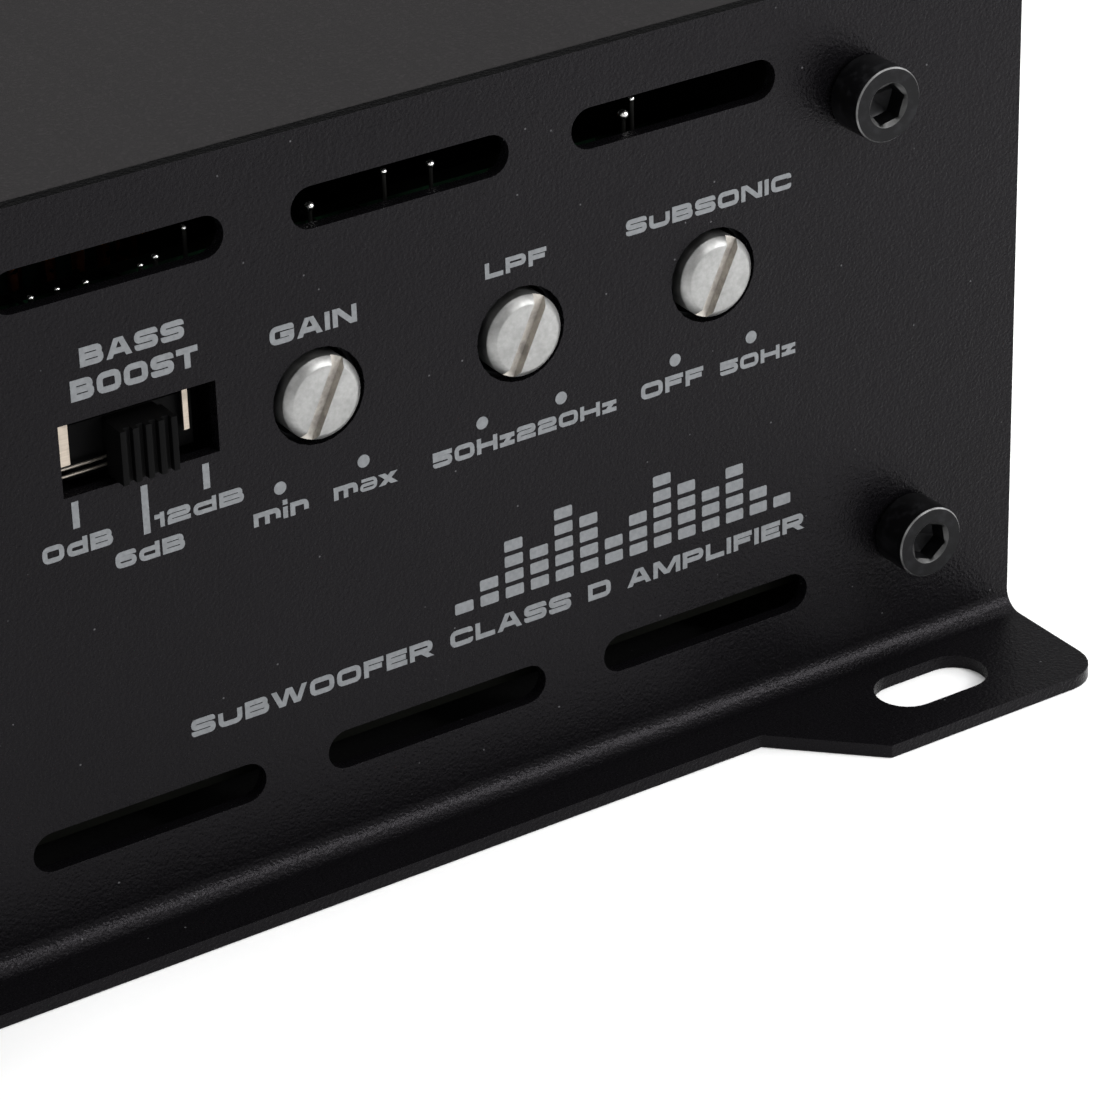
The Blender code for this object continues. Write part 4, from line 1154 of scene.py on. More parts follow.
@dataclass(frozen=True)
class Case:
    """The extrusion, the two folded end plates and the bottom cover."""

    coat_edge: float = 0.16 * MM
    extrusion_edge: float = 0.25 * MM

    def build(self) -> None:
        """Build the four pieces of the case."""
        refined("heatsink", "heatsink_extrusion", Finishes.HEATSINK, "heatsink", self.extrusion_edge)
        for end in ("front", "rear"):
            _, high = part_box(f"{end}_plate")

            def wears(face: bmesh.types.BMFace, top: float = high.z) -> int:
                """Return the index of the painted shade along the top edge, and the coat's elsewhere."""
                return 1 if face.normal.z > 0.9 and face.calc_center_median().z > top - 0.1 * MM else 0

            Stock.from_node(f"{end}_plate").paint(wears).piece(
                f"{end}_plate_folded",
                [Finishes.PLATE, Finishes.PLATE_TOP_SHADE],
                Body.AMPLIFIER,
                "plate",
                [f"{end}_plate"],
                edge=self.coat_edge,
                edge_finish=0,
                steps=3,
            )
        refined("bottom_cover", "bottom_cover_sheet", Finishes.COVER, "cover", self.coat_edge)


@dataclass(frozen=True)
class CapScrew:
    """An M3 hexagon socket cap screw, with a broken rim and a chamfered socket mouth."""

    head: float = 5.5 * MM
    height: float = 3.0 * MM
    socket: float = 2.7 * MM
    depth: float = 1.6 * MM
    mouth: float = 3.25 * MM
    rim: float = 0.11 * MM
    shank: float = 1.5 * MM  # radius
    lead_in: float = 0.25 * MM  # chamfer of the tip
    crease: float = 0.03 * MM  # land beside a sharp line
    seat_edge: float = 0.05 * MM
    top_edge: float = 0.02 * MM
    mouth_drop: Point = (0.02 * MM, 0.24 * MM)  # upper and lower end of the socket's chamfer
    drill: Point = (0.12 * MM, 0.45 * MM)  # shoulder and tip of the drill mark, below the socket
    drill_share: float = 0.86  # width of its shoulder, in sockets
    pin_point: float = 0.02 * MM  # radius of the flat that closes each end
    steps: int = 72

    def build(self) -> None:
        """Build the four screws of each end plate."""
        for end, outward in (("front", -1), ("rear", 1)):
            for level in ("upper", "lower"):
                for side in ("left", "right"):
                    self.screw(f"{end}_screw_{level}_{side}", outward)

    def screw(self, node: str, outward: int) -> bpy.types.Object:
        """Build one screw in place of its node.

        Args:
            node: the node it stands for.
            outward: the sign of the Y direction that its head faces.

        Returns:
            The screw.
        """
        low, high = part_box(node)
        centre = middle(node)
        outer = low.y if outward < 0 else high.y
        tip = high.y if outward < 0 else low.y
        seat = outer - outward * self.height
        radius = self.head / 2
        mouth_top, mouth_bottom = self.mouth_drop
        shoulder, drill_tip = self.drill
        stock = Stock()
        rings: list[tuple[int, list[Vector]]] = []

        def ring(finish: int, reach: Callable[[float], Point], along: float) -> None:
            """Add one ring of points.

            Args:
                finish: index of the finish of the band that leads up to it.
                reach: returns the ring's point in a direction.
                along: its place along Y.
            """
            turns = [2 * math.pi * step / self.steps for step in range(self.steps)]
            spots = [reach(turn) for turn in turns]
            rings.append((finish, [Vector((centre.x + a, along, centre.z + b)) for a, b in spots]))

        def round_of(size: float) -> Callable[[float], Point]:
            """Return a circle of that radius as a function of direction."""
            return lambda turn: (size * math.cos(turn), size * math.sin(turn))

        def turned_hexagon(share: float) -> Callable[[float], Point]:
            """Return the socket's hexagon, turned by the screw's own angle.

            Args:
                share: its width, in sockets.

            Returns:
                The hexagon as a function of direction.
            """
            lean = (hash_of(node) % 60) * math.pi / 180

            def at(turn: float) -> Point:
                """Return the point in one direction."""
                a, b = hexagon_point(turn - lean, self.socket * share)
                return a * math.cos(lean) - b * math.sin(lean), a * math.sin(lean) + b * math.cos(lean)

            return at

        ring(0, round_of(self.pin_point), tip)
        ring(0, round_of(self.shank - self.lead_in), tip)
        ring(0, round_of(self.shank), tip + outward * self.lead_in)
        ring(0, round_of(self.shank), seat)
        ring(0, round_of(radius - self.seat_edge), seat)
        ring(0, round_of(radius), seat + outward * self.seat_edge)
        ring(0, round_of(radius), outer - outward * (self.rim + self.crease))
        ring(0, round_of(radius - self.top_edge), outer - outward * self.rim)
        ring(1, round_of(radius - self.rim), outer)
        ring(0, round_of(radius - self.rim - self.crease), outer)
        ring(0, round_of(self.mouth / 2 + self.crease), outer)
        ring(2, round_of(self.mouth / 2), outer - outward * mouth_top)
        ring(2, turned_hexagon(1.0), outer - outward * mouth_bottom)
        ring(0, turned_hexagon(1.0), outer - outward * self.depth)
        ring(0, turned_hexagon(self.drill_share), outer - outward * (self.depth + shoulder))
        ring(0, round_of(self.pin_point), outer - outward * (self.depth + drill_tip))
        rows = [[stock.bm.verts.new(spot) for spot in spots] for _, spots in rings]
        faces = [stock.bm.faces.new(rows[0]), stock.bm.faces.new(rows[-1])]
        stock.closed(faces, 0)
        for index, (lower, upper) in enumerate(zip(rows, rows[1:]), 1):
            for step in range(self.steps):
                follow = (step + 1) % self.steps
                face = stock.bm.faces.new((lower[step], lower[follow], upper[follow], upper[step]))
                face.material_index = rings[index][0]
        bmesh.ops.recalc_face_normals(stock.bm, faces=stock.bm.faces)
        finishes = [Finishes.OXIDE, Finishes.WORN, Finishes.WORN_MOUTH]
        return stock.piece(f"{node}_cap", finishes, Body.AMPLIFIER, "black_screw", [node])


def hash_of(name: str) -> int:
    """Return a small number that is the same for the same name in every run."""
    return sum((index + 3) * ord(sign) for index, sign in enumerate(name))


@dataclass(frozen=True)
class SmallScrews:
    """The countersunk cover screws and the pan head screws of the board and the transistors."""

    edge: float = 0.1 * MM
    cross: Point = (3.0 * MM, 0.62 * MM)
    cross_depth: float = 1.1 * MM

    def build(self) -> None:
        """Build all ten screws."""
        for index in range(1, 5):
            node = f"cover_screw_{index}"
            refined(node, f"{node}_countersunk", Finishes.OXIDE, "black_screw", self.edge)
        for node in [f"board_screw_{index}" for index in range(1, 5)]:
            self.pan_head(node, Axis.Z, 1)
        self.pan_head("transistor_screw_left", Axis.X, 1)
        self.pan_head("transistor_screw_right", Axis.X, -1)

    def pan_head(self, node: str, axis: Axis, outward: int) -> None:
        """Build one cross-recessed pan head screw.

        Args:
            node: the node it stands for.
            axis: the screw's axis.
            outward: the sign of the direction that its head faces.
        """
        low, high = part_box(node)
        centre = middle(node)
        place = (centre.y, centre.z) if axis is Axis.X else (centre.x, centre.y)
        top = {Axis.X: (low.x, high.x), Axis.Z: (low.z, high.z)}[axis][1 if outward > 0 else 0]
        length, width = self.cross
        cutters = []
        for across, up in ((length, width), (width, length)):
            bar = rectangle(*place, across, up)
            ends = sorted((top + outward * MM, top - outward * self.cross_depth))
            cutters.append(Stock().prism(bar, axis, *ends))
        Stock.from_node(node).piece(
            f"{node}_cross_recessed",
            [Finishes.ZINC],
            Body.AMPLIFIER,
            "bright_screw",
            [node],
            edge=self.edge,
            cutters=cutters,
        )


# ---------------------------------------------------------------- controls


@dataclass(frozen=True)
class Trimmers:
    """The three slotted trimmer shafts and the trimmers that they turn in."""

    names: tuple[str, ...] = ("gain", "lowpass", "subsonic")
    chamfer: float = 0.6 * MM
    slot_width: float = 1.0 * MM
    slot_depth: float = 0.6 * MM
    lean: float = 26.0  # degrees clockwise from upright, seen from the front
    soft: float = 0.12 * MM  # rounding on either side of the chamfer
    case_edge: float = 0.2 * MM
    pin: float = 0.3 * MM
    pin_pitch: float = 2.5 * MM
    steps: int = 96

    def build(self) -> None:
        """Build the shafts and their trimmers."""
        for name in self.names:
            self.shaft(name)
            self.trimmer(name)

    def shaft(self, name: str) -> None:
        """Build one shaft: a diecast pin with a broken edge and a screwdriver slot.

        Args:
            name: the control that it sets.
        """
        node = f"{name}_pot_shaft"
        low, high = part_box(node)
        centre = middle(node)
        radius = (high.z - low.z) / 2
        give = self.soft * 0.35
        profile = [
            (0, low.y),
            (radius - self.chamfer, low.y),
            (radius - self.chamfer + self.soft, low.y + give),
            (radius - give, low.y + self.chamfer - self.soft),
            (radius, low.y + self.chamfer),
            (radius, high.y),
            (0, high.y),
        ]
        place = (centre.x, centre.z)
        bar = rectangle(0, 0, self.slot_width, 4 * radius)
        # The slot's floor takes the lighter finish: painted light.
        slot = Stock().prism(bar, Axis.Y, low.y - MM, low.y + self.slot_depth, finish=1)
        turn = Matrix.Rotation(math.radians(self.lean), 4, "Y")
        slot.moved(Matrix.Translation((centre.x, 0, centre.z)) @ turn)
        stock = Stock().turned(profile, place, Axis.Y, self.steps)
        stock.piece(
            f"{node}_slotted",
            [Finishes.SHAFT, Finishes.SHAFT_SLOT_LIT],
            f"{name}_shaft",
            "shaft",
            [node],
            edge=0.05 * MM,
            cutters=[slot],
        )

    def trimmer(self, name: str) -> None:
        """Build one trimmer: its case and its three solder pins.

        Args:
            name: the control that it sets.
        """
        node = f"{name}_pot_body"
        low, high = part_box(node)
        centre = middle(node)
        refined(node, f"{node}_case", Finishes.TRIMMER, "pot_body", self.case_edge)
        pins = Stock()
        for step in (-1, 0, 1):
            x = centre.x + step * self.pin_pitch
            start = Vector((x, high.y - 0.6 * MM, low.z + 0.9 * MM))
            elbow = start + Vector((0, 0.3 * MM, -1.6 * MM))
            pins.wire([start, elbow, elbow + Vector((0, 0, -1.5 * MM))], self.pin)
        pins.piece(f"{name}_trimmer_pins", [Finishes.SOLDER], Body.AMPLIFIER)


@dataclass(frozen=True)
class SlideSwitch:
    """The three-step slide switch: a tinned bracket over a black housing, and a ribbed lever."""

    slot: Point = (-4.62 * MM, 3.72 * MM)  # left and right side of the bracket's slot, from the lever
    right_edge: float = 4.15 * MM  # where the bracket ends on the right, from the lever
    slot_bottom: float = -0.55 * MM  # from the middle of the lever
    slot_top: float = 2.6 * MM
    sheet: float = 0.25 * MM
    spring: float = 0.11 * MM
    spring_drops: tuple[float, ...] = (0.25 * MM, 0.8 * MM)  # below the bracket
    spring_bend: float = -2.75 * MM  # where they bend in behind the lever's cap, from the lever
    spring_depth: tuple[float, ...] = (0.16 * MM, 0.2 * MM, 0.38 * MM)  # behind the bracket's face
    ribs: int = 5
    groove: float = 0.45 * MM
    cap_half: float = 2.1 * MM
    cap_lift: float = 0.12 * MM  # between the cap and the bracket
    neck_play: float = 0.4 * MM
    carrier_front: float = 0.6 * MM  # behind the bracket's face
    carrier_play: float = 0.8 * MM  # what the carrier gives up to run clear of its well
    housing_play: float = 0.6 * MM
    housing_depth: float = 7.0 * MM
    well_walls: Point = (2.0 * MM, 1.2 * MM)
    well_depth: float = 3.0 * MM
    neck: Point = (-0.4 * MM, 1.9 * MM)  # lower and upper side of the lever behind the bracket

    def build(self) -> None:
        """Build the bracket, the housing and the lever."""
        low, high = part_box("bass_switch_frame")
        centre = middle("bass_switch_lever")
        front = low.y
        left, right = low.x + 0.2 * MM, centre.x + self.right_edge
        bottom = centre.z + self.slot_bottom
        top = centre.z + self.slot_top
        slot_left, slot_right = (centre.x + side for side in self.slot)
        bracket = Stock()
        outline = [
            (left, bottom),
            (slot_left, bottom),
            (slot_left, top),
            (slot_right, top),
            (slot_right, bottom),
            (right, bottom),
            (right, high.z),
            (left, high.z),
        ]
        bracket.prism(outline, Axis.Y, front, front + self.sheet)
        bracket.piece(
            "bass_switch_bracket",
            [Finishes.TINNED],
            Body.AMPLIFIER,
            "tinned",
            ["bass_switch_frame"],
            edge=0.05 * MM,
        )
        springs = Stock()
        for drop in self.spring_drops:
            level = bottom - drop
            places = zip((left, centre.x + self.spring_bend, centre.x), self.spring_depth)
            springs.wire([Vector((x, front + depth, level)) for x, depth in places], self.spring)
        springs.piece("bass_switch_detent_springs", [Finishes.SPRING], Body.AMPLIFIER)
        self.housing(low, high, centre)
        self.lever(centre)

    def housing(self, low: Vector, high: Vector, centre: Vector) -> None:
        """Build the housing, with a well that the lever's carrier runs in, and its solder tags.

        Args:
            low: lower corner of the switch's box.
            high: upper corner of the switch's box.
            centre: middle of the lever.
        """
        front = low.y + self.sheet + 0.05 * MM
        width, height = high.x - low.x - self.housing_play, high.z - low.z - self.housing_play
        place = ((low.x + high.x) / 2, (low.z + high.z) / 2)
        hollow = rectangle(*place, width - self.well_walls[0], height - self.well_walls[1])
        well = Stock().prism(hollow, Axis.Y, front - MM, front + self.well_depth)
        box = Stock().prism(rectangle(*place, width, height), Axis.Y, front, low.y + self.housing_depth)
        box.piece(
            "bass_switch_housing",
            [Finishes.HOUSING],
            Body.AMPLIFIER,
            "switch",
            edge=0.15 * MM,
            cutters=[well],
        )
        tags = Stock()
        for step in (-1.5, -0.5, 0.5, 1.5):
            x = centre.x + step * 2.5 * MM
            tag = rectangle(x, place[1], 0.8 * MM, 0.3 * MM)
            tags.prism(tag, Axis.Y, low.y + 6.8 * MM, high.y - 0.2 * MM)
        tags.piece("bass_switch_tags", [Finishes.SOLDER], Body.AMPLIFIER)

    def lever(self, centre: Vector) -> None:
        """Build the lever: a ribbed cap before the bracket, a neck through it and a carrier behind.

        Args:
            centre: middle of the lever.
        """
        low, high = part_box("bass_switch_lever")
        front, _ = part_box("bass_switch_frame")
        back = front.y - self.cap_lift
        rib = 2 * self.cap_half / (2 * self.ribs - 1)
        outline: Outline = []
        for index in range(self.ribs):
            left = centre.x - self.cap_half + 2 * index * rib
            if index:
                outline += [(left - rib, low.y + self.groove), (left, low.y + self.groove)]
            outline += [(left, low.y), (left + rib, low.y)]
        outline += [(centre.x + self.cap_half, back), (centre.x - self.cap_half, back)]
        cap = Stock().prism(outline, Axis.Z, low.z, high.z)
        bottom, top = (centre.z + side for side in self.neck)
        neck = rectangle(centre.x, (bottom + top) / 2, 2 * self.cap_half - self.neck_play, top - bottom)
        cap.prism(neck, Axis.Y, back + WELD, front.y + self.carrier_front)
        carrier = rectangle(centre.x, centre.z, high.x - low.x - self.carrier_play, high.z - low.z)
        cap.prism(carrier, Axis.Y, front.y + self.carrier_front + WELD, high.y)
        cap.piece(
            "bass_switch_ribbed_lever",
            [Finishes.LEVER],
            Body.LEVER,
            "switch",
            ["bass_switch_lever"],
            edge=0.07 * MM,
        )


@dataclass(frozen=True)
class ControlLegends:
    """What is printed on the control end, each word in the box that it fills, in millimetres."""

    sheet: float = 1.0 * MM
    bars: tuple[int, ...] = (1, 2, 4, 3, 5, 4, 2, 3, 5, 4, 3, 4, 2, 1)
    words: tuple[tuple[str, float, float, float, float], ...] = (
        ("BASS", -2.53, 42.94, 5.04, 44.30),
        ("BOOST", -3.36, 40.71, 5.91, 42.20),
        ("GAIN", 11.23, 40.46, 17.84, 41.77),
        ("LPF", 27.85, 40.66, 32.76, 41.81),
        ("SUBSONIC", 39.23, 40.72, 53.08, 41.90),
        ("min", 9.19, 27.77, 13.42, 29.00),
        ("max", 15.37, 27.85, 20.28, 29.05),
        ("50Hz", 23.18, 27.86, 29.74, 29.03),
        ("220Hz", 29.95, 27.90, 38.14, 28.98),
        ("OFF", 40.22, 28.00, 45.49, 29.20),
        ("50Hz", 46.93, 27.92, 53.43, 28.98),
        ("0dB", -6.33, 29.89, -1.20, 31.11),
        ("6dB", -1.16, 27.93, 3.99, 29.11),
        ("12dB", 1.90, 30.00, 8.58, 31.09),
    )
    inputs: tuple[tuple[str, float, float, float, float], ...] = (
        ("INPUT", -34.6, 46.2, -27.4, 47.5),
        ("L", -38.6, 25.4, -37.4, 26.6),
        ("R", -24.7, 25.4, -23.3, 26.6),
        ("REMOTE", -58.6, 43.6, -49.4, 44.9),
        ("POWER", -14.9, 42.4, -10.2, 43.4),
        ("PROTECT", -14.9, 27.4, -9.9, 28.4),
    )
    type_line: tuple[str, float, float, float, float] = (
        "SUBWOOFER CLASS D AMPLIFIER",
        3.45,
        13.62,
        54.15,
        14.92,
    )
    display: Point = (25.2, 16.1)  # middle of the first level bar, and the bars' foot
    bar_pitch: float = 2.08
    block: Point = (1.5, 0.85)
    block_rise: float = 1.2
    block_corner: float = 0.12
    dot: float = 0.95
    tick: float = 0.5
    dots: tuple[Point, ...] = (
        (11.33, 30.09),
        (17.79, 30.13),
        (27.20, 30.17),
        (33.62, 30.17),
        (43.12, 30.31),
        (49.61, 30.23),
    )
    ticks: tuple[tuple[float, float, float], ...] = (
        (-3.72, 31.82, 33.74),
        (1.31, 29.83, 33.38),
        (5.90, 31.73, 33.57),
    )

    def build(self) -> None:
        """Print the legends, the level display and the type line."""
        _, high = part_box("front_plate")
        face = PrintedFace(high.y - self.sheet, -1)
        setting = Lettering()
        for name, words in (("control_legends", self.words), ("connection_legends", self.inputs)):
            shapes = [shape for word in words for shape in setting.word(*word)]
            face.print(name, shapes)
        face.print("type_line", setting.word(*self.type_line))
        marks = [circle(x, z, self.dot, 16) for x, z in self.dots]
        marks += [rectangle(x, (low + high) / 2, self.tick, high - low) for x, low, high in self.ticks]
        face.print("scale_marks", marks)
        face.print("level_display", self.level_display())

    def level_display(self) -> list[Outline]:
        """Set a row of level bars, built up from small blocks.

        Returns:
            The blocks' outlines.
        """
        left, bottom = self.display
        width, height = self.block
        blocks = []
        for column, count in enumerate(self.bars):
            x = left + column * self.bar_pitch
            for row in range(count):
                z = bottom + row * self.block_rise + height / 2
                blocks.append(rectangle(x, z, width, height, self.block_corner))
        return blocks


# ---------------------------------------------------------------- connections


@dataclass(frozen=True)
class SignalInputs:
    """The two line input jacks, the remote control port and the two indicator lamps."""

    jacks: tuple[tuple[str, Finish], ...] = (
        ("left", Finishes.INSULATOR_WHITE),
        ("right", Finishes.INSULATOR_RED),
    )
    insulator: tuple[float, float, float] = (1.78 * MM, 2.72 * MM, 0.4 * MM)  # radii and thickness
    sleeve: Point = (1.22 * MM, 1.6 * MM)
    sleeve_reach: Point = (0.5 * MM, 5.5 * MM)  # ends of the sleeve, from the insulator
    block_edge: float = 0.2 * MM
    shell_edge: float = 0.12 * MM
    lens_edge: float = 0.15 * MM
    port_edge: float = 0.15 * MM
    port_pins: int = 6
    port_pitch: float = 1.27 * MM

    def build(self) -> None:
        """Build the jacks, the port and the lamps."""
        refined("input_jack_block", "input_jack_housing", Finishes.SOCKET, "socket", self.block_edge)
        for side, colour in self.jacks:
            self.jack(side, colour)
        self.port()
        for name, lens in (("power", Finishes.GREEN_LENS), ("protect", Finishes.RED_LENS)):
            lamp = f"{name}_lamp"
            refined(lamp, f"{lamp}_lens", lens, lamp, self.lens_edge)

    def jack(self, side: str, colour: Finish) -> None:
        """Build one jack: its outer shell, the coloured ring inside it and the sprung sleeve for the pin.

        Args:
            side: left or right channel.
            colour: the ring's finish.
        """
        node = f"input_jack_shell_{side}"
        low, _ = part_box(node)
        centre = middle(node)
        place = (centre.x, centre.z)
        refined(node, f"{node}_turned", Finishes.NICKEL, "nickel", self.shell_edge)
        block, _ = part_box("input_jack_block")
        inner, outer, thick = self.insulator
        back = block.y - 0.03 * MM
        soft = 0.1 * MM
        ring = [
            (inner, back),
            (inner, back - thick + soft),
            (inner + soft, back - thick),
            (outer - soft, back - thick),
            (outer, back - thick + soft),
            (outer, back),
        ]
        insulator = Stock().turned(ring, place, Axis.Y, ring=True)
        insulator.piece(f"input_insulator_{side}", [colour], Body.AMPLIFIER)
        bore, outside = self.sleeve
        start, end = (block.y + reach for reach in self.sleeve_reach)
        wall = [(bore, start), (outside - soft, start), (outside, start + soft), (outside, end), (bore, end)]
        sleeve = Stock().turned(wall, place, Axis.Y, 32, ring=True)
        sleeve.piece(f"input_pin_sleeve_{side}", [Finishes.GOLD], Body.AMPLIFIER)

    def port(self) -> None:
        """Build the remote control port and the row of sprung pins across its opening."""
        refined("remote_port", "remote_port_housing", Finishes.SOCKET, "socket", self.port_edge)
        low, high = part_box("remote_port")
        centre = middle("remote_port")
        pins = Stock()
        for index in range(self.port_pins):
            x = centre.x + (index - (self.port_pins - 1) / 2) * self.port_pitch
            path = [
                Vector((x, low.y + 1.6 * MM, high.z - 2.6 * MM)),
                Vector((x, low.y + 1.9 * MM, high.z - 3.1 * MM)),
                Vector((x, low.y + 8.2 * MM, high.z - 5.2 * MM)),
            ]
            pins.wire(path, 0.2 * MM)
        pins.piece("remote_port_pins", [Finishes.GOLD], Body.AMPLIFIER)


@dataclass(frozen=True)
class TerminalEnd:
    """The clamp terminals, the fuse holder with its two fuses, and their legends."""

    wires: tuple[str, ...] = ("supply", "remote", "ground", "speaker_minus", "speaker_plus")
    block_edge: float = 0.3 * MM
    contact_edge: float = 0.15 * MM
    screw_edge: float = 0.1 * MM
    fuse_edge: float = 0.2 * MM
    label_bottom: float = 33.6
    label_height: float = 1.5
    sheet: float = 1.0 * MM
    labels: tuple[tuple[str, str, float, float], ...] = (
        ("supply_contact", "+12V", 6.2, 0.0),
        ("remote_contact", "REM", 5.4, 0.0),
        ("ground_contact", "GND", 5.4, 0.0),
        ("speaker_minus_contact", "-", 1.4, 0.0),
        ("speaker_plus_contact", "+", 1.5, 0.0),
        ("fuse_holder", "FUSE", 7.0, 0.0),
        ("speaker_terminal_block", "SPEAKER", 13.4, 2.4),
    )  # what each stands over, the word, its width and its rise over the row

    def build(self) -> None:
        """Build the blocks with their contacts and screws, the fuses and the legends."""
        for node in ("power_terminal_block", "speaker_terminal_block"):
            refined(node, f"{node}_moulding", Finishes.TERMINAL, "terminal", self.block_edge)
        for wire in self.wires:
            contact, screw = f"{wire}_contact", f"{wire}_set_screw"
            refined(contact, f"{contact}_clamp", Finishes.BRASS, "plated", self.contact_edge)
            rides = f"{wire}_screw"
            refined(screw, f"{screw}_hexagon", Finishes.OXIDE, "black_screw", self.screw_edge, rides)
        refined("fuse_holder", "fuse_holder_moulding", Finishes.TERMINAL, "terminal", self.block_edge)
        for index in (1, 2):
            self.fuse(f"fuse_{index}")
        self.legends()

    def fuse(self, node: str) -> None:
        """Build one blade fuse: a clear body over two plated blades.

        Args:
            node: the fuse's node.
        """
        low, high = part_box(node)
        blade_end = self.blade_end(node, low.y, high.y)

        def wears(face: bmesh.types.BMFace) -> int:
            """Return the blade finish behind the body, and the body's elsewhere."""
            return 1 if face.calc_center_median().y < blade_end else 0

        Stock.from_node(node).paint(wears).piece(
            f"{node}_blade_fuse",
            [Finishes.FUSE, Finishes.ZINC],
            f"pulled_{node}",
            "fuse",
            [node],
            edge=self.fuse_edge,
        )

    def blade_end(self, node: str, back: float, front: float) -> float:
        """Return how far out the blades reach: where the fuse first becomes wider than a blade.

        Args:
            node: the fuse's node.
            back: the Y of its blade tips.
            front: the Y of its outer face.

        Returns:
            The Y where the body starts, less a hair.
        """
        low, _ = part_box(node)
        spots = [vertex.co for vertex in bpy.data.objects[node].data.vertices]
        wide = [spot.y for spot in spots if abs(spot.x - low.x) < 0.05 * MM]
        return min(wide, default=(back + front) / 2) - 0.05 * MM

    def legends(self) -> None:
        """Print the terminal end's legends, each centred over its terminal."""
        low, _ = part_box("rear_plate")
        face = PrintedFace(low.y + self.sheet, 1)
        setting = Lettering()
        shapes: list[Outline] = []
        for node, text, width, rise in self.labels:
            reader = -middle(node).x / MM
            level = self.label_bottom + rise
            box = (reader - width / 2, level, reader + width / 2, level + self.label_height)
            shapes += setting.word(text, *box)
        face.print("terminal_legends", shapes)


# ---------------------------------------------------------------- inside


